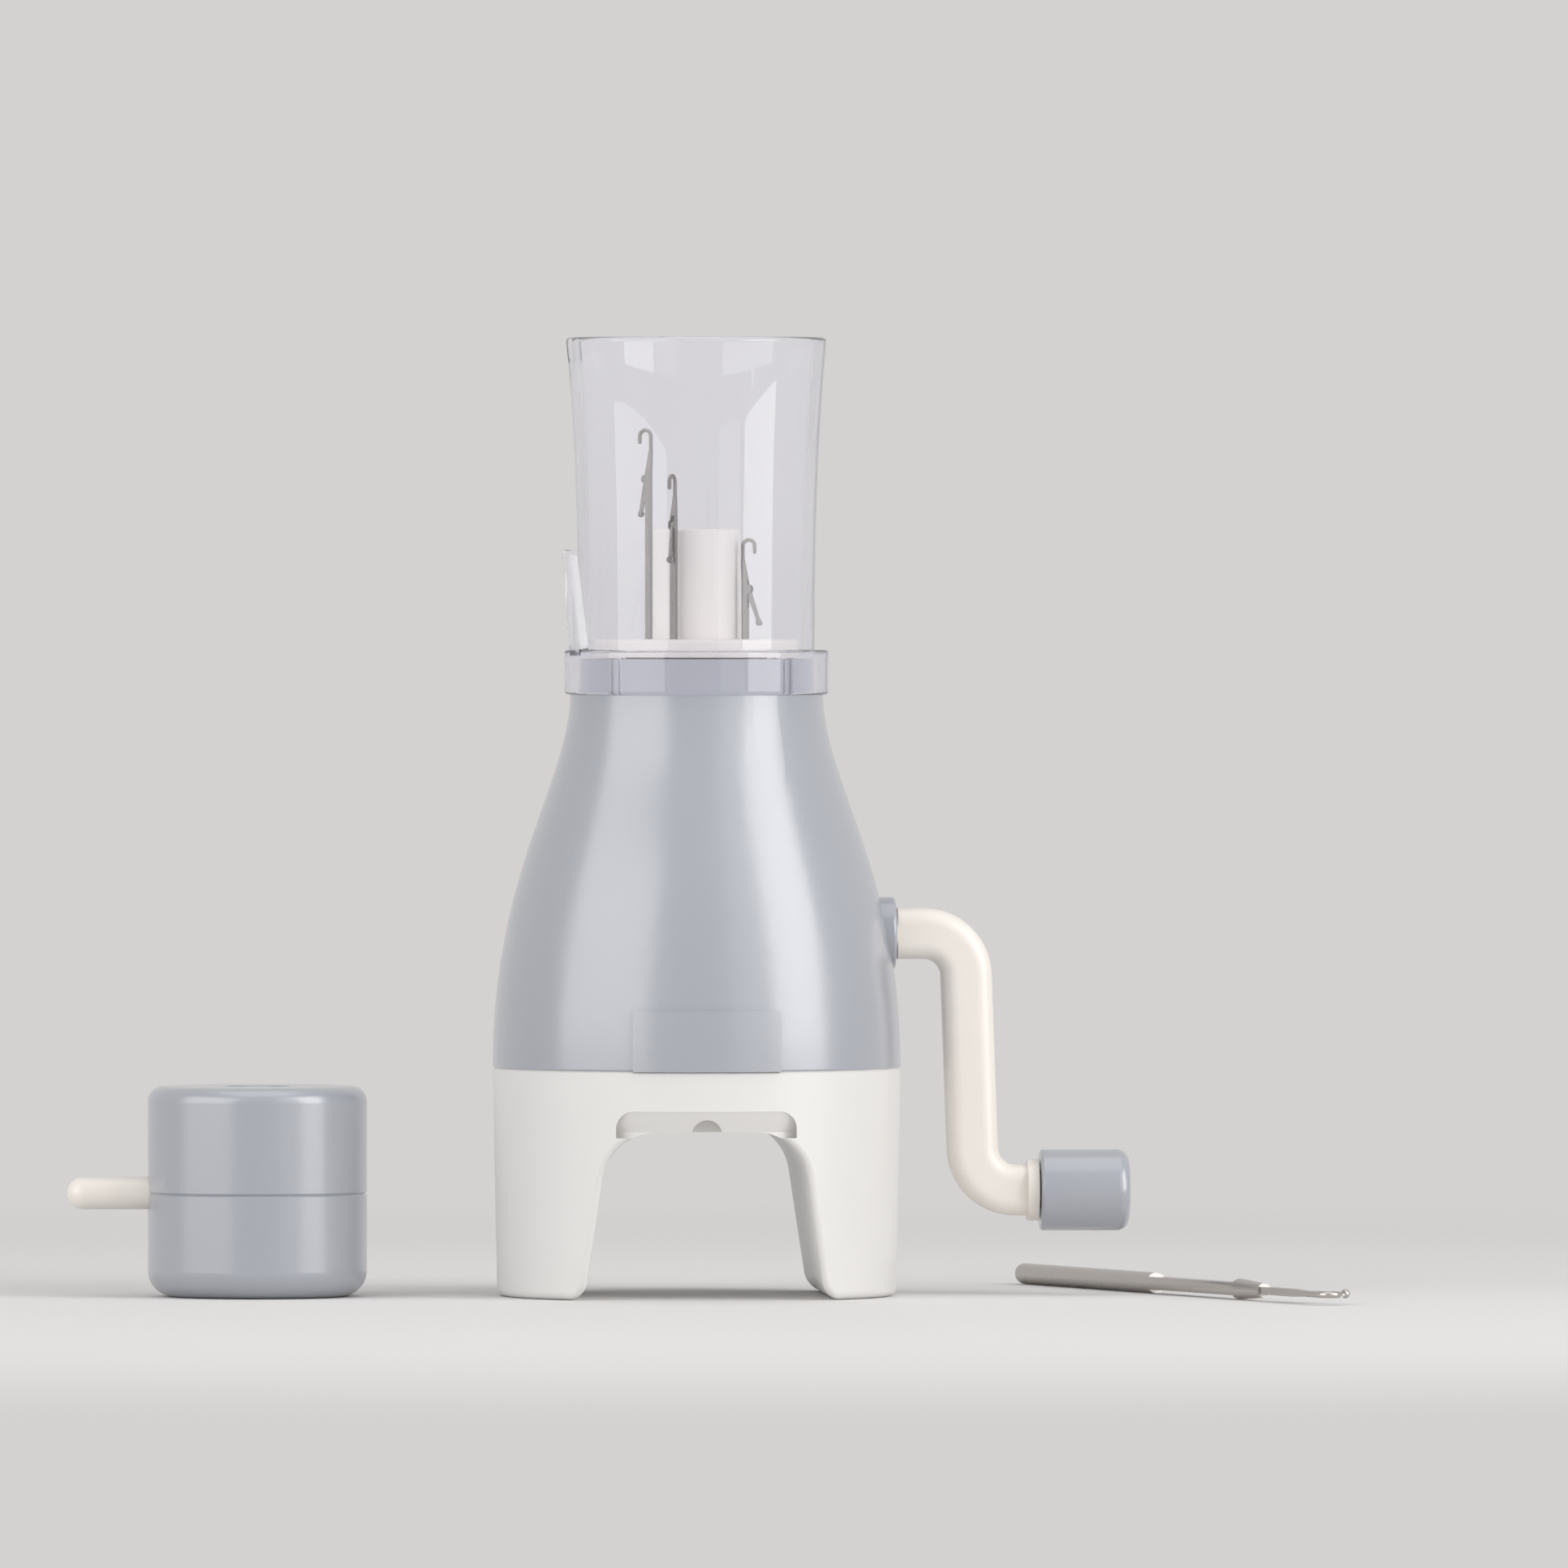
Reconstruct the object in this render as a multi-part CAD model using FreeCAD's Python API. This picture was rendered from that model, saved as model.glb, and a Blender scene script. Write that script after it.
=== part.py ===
# I-cord maker: a hand-cranked knitting mill with four latch needles, its cord weight
# and its latch tool. Each function makes one piece, and each piece is one STEP file.
#
# Frame: +Z up, with the origin on the floor under the mill's vertical axis. The arch
# faces -Y and the crank is on the +X side. Sizes are in millimetres, angles in degrees
# anticlockwise from +X as seen from above.
import FreeCAD, Part
import math
import os

Vector = FreeCAD.Vector
UP = Vector(0, 0, 1)
ALONG_X = Vector(1, 0, 0)
ALONG_Y = Vector(0, 1, 0)

# ---- Clearances ----
RUNNING_FIT = 0.08        # radial, a turning shaft in its bore
SLIDING_FIT = 0.1         # each side, a piece that slides or lifts off
PUSH_FIT = 0.02           # radial, pieces pushed together for good
GAP = 0.3                 # between moving faces that don't touch
SEAT = 0.05               # under a piece that sits down and can be lifted
SPILL = 1.0               # how far a cutter runs past the face that it cuts
EDGE_BREAK = 0.3          # small bevel on moulded edges that meet or are touched
SAME = 1e-6               # lengths closer than this count as equal
NEAR = 1e-3               # the same, for the ends of curved edges

# ---- Base ----
BASE_HEIGHT = 39.3
BASE_TOP_RADIUS = 35.2
BASE_TAPER = 0.8          # how much less the radius is at the feet
BASE_WALL = 2.2
FOOT_FLOOR = 2.0
FOOT_EDGE_RADIUS = 1.4
ARCH_HEIGHT = 28.9
ARCH_FOOT_HALF = 20.6
ARCH_TOP_HALF = 16.4
ARCH_CORNER_RADIUS = 9.0
ARCH_EDGE_RADIUS = 0.8
FOOT_INNER_RADIUS = 4.0
FOOT_DIP = 0.2            # its curve would end this far under the floor
DECK = 2.6
BROW_HEIGHT = 3.6         # sloped recess over the front of the arch
BROW_DEPTH = 2.0
BROW_HALF = 15.5
BROW_CORNER_RADIUS = 3.0
NOTCH_RADIUS = 2.65       # half-round yarn notch under the brow
NOTCH_DROP = 0.5          # its middle lies this far under the arch
LIP_HEIGHT = 3.0
LIP_WALL = 2.0
CHIMNEY_BORE = 6.2        # radius of the cord's way down
CHIMNEY_WALL = 1.6
MOUTH_FLARE = 1.2

# ---- Screws of the base ----
BASE_SCREW_X = 10.0
BASE_SCREW_EDGE = 3.2     # from the outside of the lip in to the screw
BASE_COLUMN_RADIUS = 3.8
BASE_SCREW_GRIP = 5.4     # from the seat of its head up to the seam
BASE_SCREW_RADIUS = 1.4
BASE_HEAD_RADIUS = 2.6
BASE_HEAD_HEIGHT = 1.9
BASE_SCREW_LENGTH = 19.0

# ---- Housing ----
HOUSING_HEIGHT = 64.3     # from the seam up to the shoulder under the shield
HOUSING_WALL = 2.2
NECK_RADIUS = 21.8
NECK_LEAN = 0.4
NECK_PULL = 15.6          # how long the side stays upright under the shoulder
FOOT_PULL = 34.0          # how long it stays upright over the seam
COLLAR_HEIGHT = 6.2
COLLAR_RADIUS = 20.2
BEARING_WALL = 2.3
PAD_WIDTH = 25.5          # bare raised pad over the arch
PAD_HEIGHT = 10.4
PAD_RELIEF = 0.5
KEYWAYS = 4
KEYWAY_WIDTH = 2.4
KEYWAY_DEPTH = 1.0
KEYWAY_START = 45.0

# ---- Crank ----
CRANK_RISE = 23.1         # from the seam up to the crank's axis
CRANK_RADIUS = 44.3
CRANK_BOSS_RADIUS = 6.3
CRANK_BOSS_INSET = 0.9    # its face lies this far inside the base's radius
SHAFT_RADIUS = 4.0
SHAFT_FLAT = 3.2          # from the shaft's axis to its drive flat
ARM_WIDTH = 8.8
ARM_DEPTH = 7.6
ARM_ROUNDING = 2.7
ARM_BEND_RADIUS = 7.4
ARM_REACH = 12.0          # from the boss to the middle of the downward run
ARM_LEAN = 1.6            # outward lean of the downward run
ARM_END_RUN = 9.2
ARM_COLLAR_RADIUS = 5.3
ARM_COLLAR = 1.9
KNOB_RADIUS = 7.0
KNOB_LENGTH = 15.4
KNOB_ROUNDING = 2.0
KNOB_END_WALL = 2.4
SPINDLE_RADIUS = 3.2
SPINDLE_BEAD = 0.5

# ---- Gears ----
GEAR_TEETH = 24
PINION_TEETH = 12
GEAR_MODULE = 1.3333      # at the big end
PRESSURE_ANGLE = 20.0
TOOTH_FACE = 5.5
ADDENDUM_SHARE = 0.8
DEDENDUM_SHARE = 1.05
BACKLASH = 0.26
GEAR_HUB = 11.3           # from the crank's axis up to the gear's back
GEAR_WEB = 1.8
PINION_HUB = 2.1          # from the gear's pitch radius out to the pinion's back
PINION_HUB_RADIUS = 5.4
GEAR_SCREWS = 2
GEAR_SCREW_RADIUS = 0.8
GEAR_HEAD_RADIUS = 1.4
GEAR_HEAD_HEIGHT = 1.1
GEAR_SCREW_LENGTH = 9.0
PINION_SCREW_RADIUS = 1.3
PINION_SCREW_LENGTH = 8.0
PINION_HEAD_RADIUS = 2.3
PINION_HEAD_HEIGHT = 1.3
WASHER_RADIUS = 4.2
WASHER = 0.5

# ---- Rotor ----
HEAD_RADIUS = 17.6
HEAD_HEIGHT = 3.1
HEAD_ROUNDING = 0.7
ROTOR_RADIUS = 12.2
TUBE_RADIUS = 7.5
TUBE_BORE = 6.0
TUBE_FOOT = 1.8           # from the crank's axis up to the tube's lower end
TUBE_STAND = 19.0         # how far the tube stands over the rotor's head

# ---- Needles and their cams ----
NEEDLES = 4
NEEDLE_CIRCLE = 9.2
FIRST_NEEDLE = 152.0
NEEDLE_STAND = 17.4       # from the rotor's head up to the lowest hook's top
NEEDLE_THICK = 1.0
NEEDLE_DEPTH = 1.0
BUTT_START = 4.2          # from the sleeve's foot up to the middle of the lowest butt
BUTT_HEIGHT = 2.2
NEEDLE_TAIL = 2.6
HOOK_WIRE = 0.33          # radius of the wire
HOOK_BEND = 1.08
HOOK_SET = 0.45           # the hook stands this far inside the stem's middle
HOOK_TIP = 1.0            # straight end of the hook under its bend
LATCH_DROP = 8.8          # from the hook's top down to the latch's rivet
LATCH_SET = 0.45          # the rivet stands this far outside the stem's middle
LATCH_LENGTH = 6.7
LATCH_THICK = 0.4
LATCH_ANGLES = (170.0, 170.0, 160.0, 165.0)     # how far each is open, from straight up
CAM_PEAK = 162.0
CAM_RISE_SPAN = 90.0
CAM_FALL_SPAN = 175.0
CAM_TRACK = 2.8
CAM_CROWN = 1.8           # cam left over the highest place of its track
CAM_ROOM = 1.3            # radial, between the rotor and the cams
CAM_WALL = 4.0
CAM_POINTS = 36
SLEEVE_WALL = 1.4
SLEEVE_LIP = 1.0
CAM_SCREWS = 3
CAM_SCREW_START = 60.0
CAM_EAR = 1.8
CAM_EAR_RADIUS = 2.7
CAM_EAR_ROOM = 1.3        # from the sleeve out to the ear's round end
CAM_SCREW_RADIUS = 1.0
CAM_HEAD_RADIUS = 2.0
CAM_HEAD_HEIGHT = 1.5
CAM_SCREW_LENGTH = 9.0

# ---- Shield ----
SHIELD_HEIGHT = 61.6      # from the shoulder to the rim
SHIELD_WALL = 2.0
RING_HEIGHT = 7.8
RING_WALL = 2.5
WAIST_RADIUS = 20.4
WAIST_HEIGHT = 27.0       # from the shoulder up to the narrowest place
RIM_RADIUS = 22.5
SHIELD_BOW = 0.6          # how far the side bows in under the rim
RIM_ROUNDING = 0.7
RIB_DEPTH = 0.8
SLOT_WIDTH = 2.4          # yarn slot in the rim
SLOT_DEPTH = 4.4
FINGER_TURN = 20.0        # yarn finger on the ring, from the slot towards the front
FINGER_HEIGHT = 17.2
FINGER_LEAN = 1.9
FINGER_WIDTH = 4.4
FINGER_TIP_WIDTH = 3.2
FINGER_THICK = 1.8
FINGER_TIP_THICK = 1.5
FINGER_CURL = 0.9

# ---- Cord weight ----
WEIGHT_X = -75.8
WEIGHT_Y = 0.0
WEIGHT_RADIUS = 18.9
WEIGHT_HEIGHT = 36.2
WEIGHT_SEAM = 17.8
WEIGHT_WALL = 2.2
WEIGHT_FOOT_ROUNDING = 4.5
WEIGHT_TOP_ROUNDING = 2.6
WEIGHT_BORE = 4.0
WEIGHT_MOUTH = 6.0
WEIGHT_TUBE_WALL = 1.6
BUTTON_RADIUS = 2.8
BUTTON_REACH = 13.9       # how far it stands out of the weight
BUTTON_TRAVEL = 4.0
SLIDER_WIDTH = 13.0
SLIDER_HEIGHT = 6.4
SLIDER_INNER = 12.0       # from the bore's middle to the slider's outer end
SLIDER_TAIL = 7.5         # from the bore's middle to its spring end
SLUG_CLEAR = 0.4
SPRING_RADIUS = 2.3
SPRING_WIRE = 0.35
SPRING_TURNS = 5

# ---- Latch tool ----
TOOL_X = 82.4             # place of the tool's middle
TOOL_Y = -0.3
TOOL_TURN = -70.0
TOOL_LENGTH = 128.0
TOOL_SHAFT_RADIUS = 1.8
TOOL_SHAFT_LENGTH = 57.0
TOOL_GRIP_LENGTH = 35.0
TOOL_GRIP_THICK = 2.2
TOOL_NECK_LENGTH = 10.0
TOOL_NECK_RADIUS = 1.25
TOOL_SEAT_DEPTH = 7.0     # how far the needle sits in the neck
TOOL_WIRE = 0.55
TOOL_BEND = 1.7
TOOL_SET = 0.45
TOOL_TIP = 2.0
TOOL_STEM_DEPTH = 1.8
TOOL_STEM_THICK = 1.3
TOOL_LATCH_DROP = 24.0
TOOL_LATCH_SET = 0.85
TOOL_LATCH_LENGTH = 20.4
TOOL_LATCH_THICK = 0.55
TOOL_LATCH_ANGLE = 14.0   # nearly shut, from straight up

# ---- Heights and radii that follow from the sizes above ----
BASE_FOOT_RADIUS = BASE_TOP_RADIUS - BASE_TAPER
SHOULDER_Z = BASE_HEIGHT + HOUSING_HEIGHT
COLLAR_TOP_Z = SHOULDER_Z + COLLAR_HEIGHT
CROWN_Z = SHOULDER_Z - HOUSING_WALL
INNER_SEAM_RADIUS = BASE_TOP_RADIUS - HOUSING_WALL
LIP_RADIUS = INNER_SEAM_RADIUS - SLIDING_FIT
BASE_SCREW_CIRCLE = LIP_RADIUS - BASE_SCREW_EDGE
BASE_SCREW_Y = math.sqrt(BASE_SCREW_CIRCLE ** 2 - BASE_SCREW_X ** 2)
BASE_SCREW_Z = BASE_HEIGHT - BASE_SCREW_GRIP
HEAD_Z = COLLAR_TOP_Z + GAP
HEAD_TOP_Z = HEAD_Z + HEAD_HEIGHT
TUBE_TOP = HEAD_TOP_Z + TUBE_STAND
CRANK_HEIGHT = BASE_HEIGHT + CRANK_RISE
CRANK_BOSS_FACE = BASE_TOP_RADIUS - CRANK_BOSS_INSET
TUBE_Z = CRANK_HEIGHT + TUBE_FOOT
CHIMNEY_TOP_Z = TUBE_Z - 2 * GAP
PITCH_RADIUS = GEAR_TEETH * GEAR_MODULE / 2
PINION_PITCH_RADIUS = PINION_TEETH * GEAR_MODULE / 2
PINION_BACK_X = PITCH_RADIUS + PINION_HUB
BOSS_INNER_X = PINION_BACK_X + GAP
GEAR_BACK_Z = CRANK_HEIGHT + GEAR_HUB
ROTOR_Z = GEAR_BACK_Z
ROTOR_BORE_RADIUS = ROTOR_RADIUS + RUNNING_FIT
CAM_INNER_RADIUS = ROTOR_RADIUS + CAM_ROOM
CAM_OUTER_RADIUS = CAM_INNER_RADIUS + CAM_WALL
SLEEVE_BORE_RADIUS = CAM_OUTER_RADIUS + PUSH_FIT
SLEEVE_RADIUS = SLEEVE_BORE_RADIUS + SLEEVE_WALL
SLEEVE_Z = GEAR_BACK_Z + 2 * GAP
SLEEVE_TOP_Z = CROWN_Z - SLIDING_FIT
CAM_SCREW_CIRCLE = SLEEVE_RADIUS + CAM_EAR_RADIUS + CAM_EAR_ROOM
NEEDLE_LOW = HEAD_TOP_Z + NEEDLE_STAND      # hook's top at the bottom of its stroke
BUTT_LOW_Z = SLEEVE_Z + BUTT_START
NEEDLE_LIFT = SLEEVE_TOP_Z - CAM_CROWN - CAM_TRACK / 2 - BUTT_LOW_Z
NEEDLE_REACH = NEEDLE_LOW - BUTT_LOW_Z      # from the hook's top down to the butt
BUTT_RADIUS = CAM_INNER_RADIUS - GAP
NEEDLE_INNER = NEEDLE_CIRCLE - NEEDLE_DEPTH / 2
NEEDLE_OUTER = NEEDLE_CIRCLE + NEEDLE_DEPTH / 2
RING_BORE_RADIUS = COLLAR_RADIUS + SLIDING_FIT
RING_RADIUS = RING_BORE_RADIUS + RING_WALL
RING_TOP_Z = SHOULDER_Z + RING_HEIGHT
RIM_Z = SHOULDER_Z + SHIELD_HEIGHT
KNOB_Z = CRANK_HEIGHT - CRANK_RADIUS
ARM_X = CRANK_BOSS_FACE + ARM_REACH
ARM_END_X = ARM_X + ARM_LEAN + ARM_END_RUN
KNOB_X = ARM_END_X + ARM_COLLAR + GAP
SLIDER_Z = WEIGHT_SEAM


# ---- Shapes that several pieces use ----

def drum(radius, low, high, x=0.0, y=0.0):
    """Upright cylinder between two heights."""
    return Part.makeCylinder(radius, high - low, Vector(x, y, low))


def axle(radius, start, end, y=0.0, z=0.0):
    """Cylinder along X."""
    return Part.makeCylinder(radius, end - start, Vector(start, y, z), ALONG_X)


def ring(outer, inner, low, high, x=0.0, y=0.0):
    """Upright tube between two heights."""
    return drum(outer, low, high, x, y).cut(drum(inner, low - SPILL, high + SPILL, x, y))


def block(x, y, z):
    """Box that spans three (low, high) pairs."""
    size = (x[1] - x[0], y[1] - y[0], z[1] - z[0])
    return Part.makeBox(*size, Vector(x[0], y[0], z[0]))


def turned(outline):
    """Solid of revolution about Z from (radius, height) points."""
    corners = [Vector(radius, 0, height) for radius, height in outline]
    face = Part.Face(Part.makePolygon(corners + corners[:1]))
    return face.revolve(Vector(), UP, 360)


def rounded_wire(corners, radii):
    """Closed wire through the corners, each rounded by its own radius."""
    edges = []
    ends = []
    for index, (corner, radius) in enumerate(zip(corners, radii)):
        back = (corners[index - 1] - corner).normalize()
        ahead = (corners[(index + 1) % len(corners)] - corner).normalize()
        half = back.getAngle(ahead) / 2
        reach = radius / math.tan(half)
        start = corner + back * reach
        end = corner + ahead * reach
        ends.append((start, end))
        if radius > 0:
            middle_line = (back + ahead).normalize()
            middle = corner + middle_line * (radius / math.sin(half) - radius)
            edges.append(Part.Arc(start, middle, end).toShape())
    for index, (start, end) in enumerate(ends):
        following = ends[(index + 1) % len(ends)][0]
        if end.distanceToPoint(following) > SAME:
            edges.append(Part.LineSegment(end, following).toShape())
    return Part.Wire(Part.sortEdges(edges)[0])


def prism_along_y(points, radii, start, end):
    """Prism along Y from (x, z) points with rounded corners."""
    wire = rounded_wire([Vector(x, start, z) for x, z in points], radii)
    return Part.Face(wire).extrude(Vector(0, end - start, 0))


def turned_copy(shape, angle):
    """Copy turned about the mill's axis."""
    copy = shape.copy()
    copy.rotate(Vector(), UP, angle)
    return copy


def joined(shapes):
    """One shape from several that touch or overlap."""
    return shapes[0].multiFuse(shapes[1:]).removeSplitter()


def screw(shank_radius, length, head_radius, head_height, seat, direction):
    """Pan-head screw: its head rests on the seat and its shank runs along direction."""
    shank = Part.makeCylinder(shank_radius, length, seat, direction)
    head = Part.makeCylinder(head_radius, head_height, seat, direction * -1)
    rim = [edge for edge in head.Edges if edge.Closed and _lies_at(edge, seat, head_height)]
    head = head.makeFillet(head_height * 0.4, rim)
    socket = Part.makeCylinder(head_radius * 0.3, head_height, seat - direction * head_height * 1.5,
                               direction)
    return joined([shank, head]).cut(socket)


def _lies_at(edge, seat, distance):
    """Whether a round edge's centre is the given distance from the seat."""
    return abs(edge.Curve.Center.distanceToPoint(seat) - distance) < SAME


# ---- Base ----

def arch_outline():
    """Corners of the arch in (x, z)."""
    return [
        (-ARCH_FOOT_HALF * 2, -SPILL),
        (-ARCH_FOOT_HALF * 2, -FOOT_DIP),
        (-ARCH_FOOT_HALF, -FOOT_DIP),
        (-ARCH_TOP_HALF, ARCH_HEIGHT),
        (ARCH_TOP_HALF, ARCH_HEIGHT),
        (ARCH_FOOT_HALF, -FOOT_DIP),
        (ARCH_FOOT_HALF * 2, -FOOT_DIP),
        (ARCH_FOOT_HALF * 2, -SPILL),
    ]


def arch_tunnel():
    """What is cut out between the two legs, with rounded foot corners."""
    foot = FOOT_INNER_RADIUS
    top = ARCH_CORNER_RADIUS
    reach = BASE_TOP_RADIUS + SPILL
    return prism_along_y(arch_outline(), [0, 0, foot, top, top, foot, 0, 0], -reach, reach)


def arch_shell():
    """The tunnel's outer form: its walls and the deck over it."""
    top = ARCH_CORNER_RADIUS
    reach = BASE_TOP_RADIUS
    outline = [
        (-ARCH_FOOT_HALF - BASE_WALL, 0),
        (-ARCH_TOP_HALF - BASE_WALL, ARCH_HEIGHT + DECK),
        (ARCH_TOP_HALF + BASE_WALL, ARCH_HEIGHT + DECK),
        (ARCH_FOOT_HALF + BASE_WALL, 0),
    ]
    return prism_along_y(outline, [0, top / 2, top / 2, 0], -reach, reach)


def arch_edges(legs):
    """The tunnel's edges on the base's round outside, front and back."""
    near = BASE_FOOT_RADIUS * math.cos(math.asin(ARCH_FOOT_HALF / BASE_FOOT_RADIUS)) - ARCH_EDGE_RADIUS
    tall = BASE_HEIGHT - SPILL
    return [edge for edge in legs.Edges
            if min(abs(edge.BoundBox.YMin), abs(edge.BoundBox.YMax)) > near
            and edge.BoundBox.ZMax < tall
            and max(abs(edge.BoundBox.XMin), abs(edge.BoundBox.XMax)) < ARCH_FOOT_HALF + ARCH_EDGE_RADIUS
            and edge.BoundBox.ZMax > FOOT_INNER_RADIUS]


def brow_recess():
    """Sloped cut over the front of the arch, with rounded upper corners."""
    face = BASE_FOOT_RADIUS + (BASE_TOP_RADIUS - BASE_FOOT_RADIUS) * ARCH_HEIGHT / BASE_HEIGHT
    top = ARCH_HEIGHT + BROW_HEIGHT
    slope = turned([(face - BROW_DEPTH, ARCH_HEIGHT - SPILL), (face + SPILL, ARCH_HEIGHT - SPILL),
                    (face + SPILL, top), (face, top), (face - BROW_DEPTH, ARCH_HEIGHT)])
    window = prism_along_y(
        [(-BROW_HALF, ARCH_HEIGHT - SPILL), (-BROW_HALF, top), (BROW_HALF, top),
         (BROW_HALF, ARCH_HEIGHT - SPILL)],
        [0, BROW_CORNER_RADIUS, BROW_CORNER_RADIUS, 0], -BASE_TOP_RADIUS - SPILL, 0)
    return slope.common(window)


def base_screw_places():
    """The four (x, y) places of the base's screws."""
    return [(x, y) for x in (-BASE_SCREW_X, BASE_SCREW_X) for y in (-BASE_SCREW_Y, BASE_SCREW_Y)]


def make_base():
    """White base: two hollow legs, the deck between them, and the cord's chimney."""
    outer = Part.makeCone(BASE_FOOT_RADIUS, BASE_TOP_RADIUS, BASE_HEIGHT)
    foot_rim = [edge for edge in outer.Edges if edge.BoundBox.ZMax < SAME]
    outer = outer.makeFillet(FOOT_EDGE_RADIUS, foot_rim)
    top_rim = [edge for edge in outer.Edges if edge.BoundBox.ZMin > BASE_HEIGHT - SAME]
    outer = outer.makeChamfer(EDGE_BREAK, top_rim)
    pocket = turned([(0, FOOT_FLOOR), (BASE_FOOT_RADIUS - BASE_WALL, FOOT_FLOOR),
                     (BASE_TOP_RADIUS - BASE_WALL, BASE_HEIGHT), (0, BASE_HEIGHT)])
    legs = outer.cut(arch_tunnel())
    legs = legs.makeFillet(ARCH_EDGE_RADIUS, arch_edges(legs))
    base = legs.cut(pocket.cut(arch_shell()))
    lip_top = BASE_HEIGHT + LIP_HEIGHT
    lip_root = BASE_HEIGHT - LIP_HEIGHT
    lip_inner = LIP_RADIUS - LIP_WALL
    lip = joined([ring(LIP_RADIUS, lip_inner, lip_root, lip_top),
                  ring(BASE_TOP_RADIUS - BASE_WALL / 2, lip_inner, lip_root, BASE_HEIGHT)])
    columns = [drum(BASE_COLUMN_RADIUS, ARCH_HEIGHT + DECK / 2, lip_top, x, y)
               for x, y in base_screw_places()]
    columns = joined(columns).common(drum(LIP_RADIUS, 0, lip_top))
    chimney = drum(CHIMNEY_BORE + CHIMNEY_WALL, ARCH_HEIGHT, CHIMNEY_TOP_Z)
    base = joined([base, lip, columns, chimney])
    cutters = [drum(CHIMNEY_BORE, 0, CHIMNEY_TOP_Z + SPILL), chimney_mouth(), brow_recess(),
               yarn_notch()]
    for x, y in base_screw_places():
        cutters.append(drum(BASE_SCREW_RADIUS + SLIDING_FIT, ARCH_HEIGHT, lip_top + SPILL, x, y))
        cutters.append(drum(BASE_HEAD_RADIUS + GAP, 0, BASE_SCREW_Z, x, y))
    for cutter in cutters:
        base = base.cut(cutter)
    return base


def chimney_mouth():
    """Flare where the cord comes out over the arch."""
    return turned([(0, ARCH_HEIGHT - SPILL), (CHIMNEY_BORE + MOUTH_FLARE, ARCH_HEIGHT - SPILL),
                   (CHIMNEY_BORE + MOUTH_FLARE, ARCH_HEIGHT),
                   (CHIMNEY_BORE, ARCH_HEIGHT + MOUTH_FLARE), (0, ARCH_HEIGHT + MOUTH_FLARE)])


def yarn_notch():
    """Half-round notch in the front edge of the deck."""
    length = BROW_DEPTH + BASE_WALL + SPILL
    return Part.makeCylinder(NOTCH_RADIUS, length, Vector(0, -BASE_TOP_RADIUS, ARCH_HEIGHT - NOTCH_DROP),
                             ALONG_Y)


def make_base_screws():
    """Four screws that hold the base to the housing."""
    return Part.Compound([
        screw(BASE_SCREW_RADIUS, BASE_SCREW_LENGTH, BASE_HEAD_RADIUS, BASE_HEAD_HEIGHT,
              Vector(x, y, BASE_SCREW_Z), UP)
        for x, y in base_screw_places()])


# ---- Housing ----

def side_curve(inset):
    """The housing's side from the seam to the shoulder, moved inward by inset."""
    seam = Vector(BASE_TOP_RADIUS - inset, 0, BASE_HEIGHT)
    shoulder = Vector(NECK_RADIUS - inset, 0, SHOULDER_Z)
    curve = Part.BezierCurve()
    curve.setPoles([seam, seam + UP * FOOT_PULL,
                    shoulder + Vector(NECK_LEAN, 0, -NECK_PULL), shoulder])
    return curve


def side_solid(inset):
    """Solid of revolution inside the side curve."""
    seam = Vector(0, 0, BASE_HEIGHT)
    shoulder = Vector(0, 0, SHOULDER_Z)
    edge = side_curve(inset).toShape()
    low, high = sorted((vertex.Point for vertex in edge.Vertexes), key=lambda point: point.z)
    wire = Part.Wire([edge, Part.makeLine(high, shoulder), Part.makeLine(shoulder, seam),
                      Part.makeLine(seam, low)])
    return Part.Face(wire).revolve(Vector(), UP, 360)


def cam_screw_angles():
    """Where the cam sleeve is screwed down."""
    return [CAM_SCREW_START + 360 / CAM_SCREWS * index for index in range(CAM_SCREWS)]


def housing_bosses(outer):
    """Screw bosses for the base and the cam sleeve, inside the housing's wall."""
    low = BASE_HEIGHT + LIP_HEIGHT + SLIDING_FIT
    high = low + BASE_SCREW_LENGTH
    base_bosses = [drum(BASE_COLUMN_RADIUS, low, high, x, y) for x, y in base_screw_places()]
    cam_boss = drum(CAM_EAR_RADIUS, SLEEVE_Z + CAM_EAR, SHOULDER_Z, CAM_SCREW_CIRCLE)
    cam_bosses = [turned_copy(cam_boss, angle) for angle in cam_screw_angles()]
    return joined(base_bosses + cam_bosses).common(outer)


def crank_boss():
    """Round boss through the housing's wall, for the crank's shaft."""
    boss = axle(CRANK_BOSS_RADIUS, BOSS_INNER_X, CRANK_BOSS_FACE, z=CRANK_HEIGHT)
    rim = [edge for edge in boss.Edges if edge.BoundBox.XMin > CRANK_BOSS_FACE - SAME]
    return boss.makeFillet(2 * EDGE_BREAK, rim)


def badge_pad():
    """Bare raised pad over the arch."""
    front = block((-PAD_WIDTH / 2, PAD_WIDTH / 2), (-BASE_TOP_RADIUS - SPILL, 0),
                  (BASE_HEIGHT, BASE_HEIGHT + PAD_HEIGHT))
    return side_solid(-PAD_RELIEF).cut(side_solid(HOUSING_WALL / 2)).common(front)


def collar():
    """Ring that the shield sits on, with the rotor's bearing inside it."""
    top = COLLAR_TOP_Z
    bearing = ROTOR_BORE_RADIUS + BEARING_WALL
    body = drum(COLLAR_RADIUS, CROWN_Z, top)
    hollow = ring(COLLAR_RADIUS - HOUSING_WALL, bearing, CROWN_Z - SPILL, top - HOUSING_WALL)
    keyway = block((COLLAR_RADIUS - KEYWAY_DEPTH, COLLAR_RADIUS + SPILL),
                   (-KEYWAY_WIDTH / 2, KEYWAY_WIDTH / 2), (SHOULDER_Z, top + SPILL))
    for index in range(KEYWAYS):
        body = body.cut(turned_copy(keyway, KEYWAY_START + 360 / KEYWAYS * index))
    return body, hollow


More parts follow.
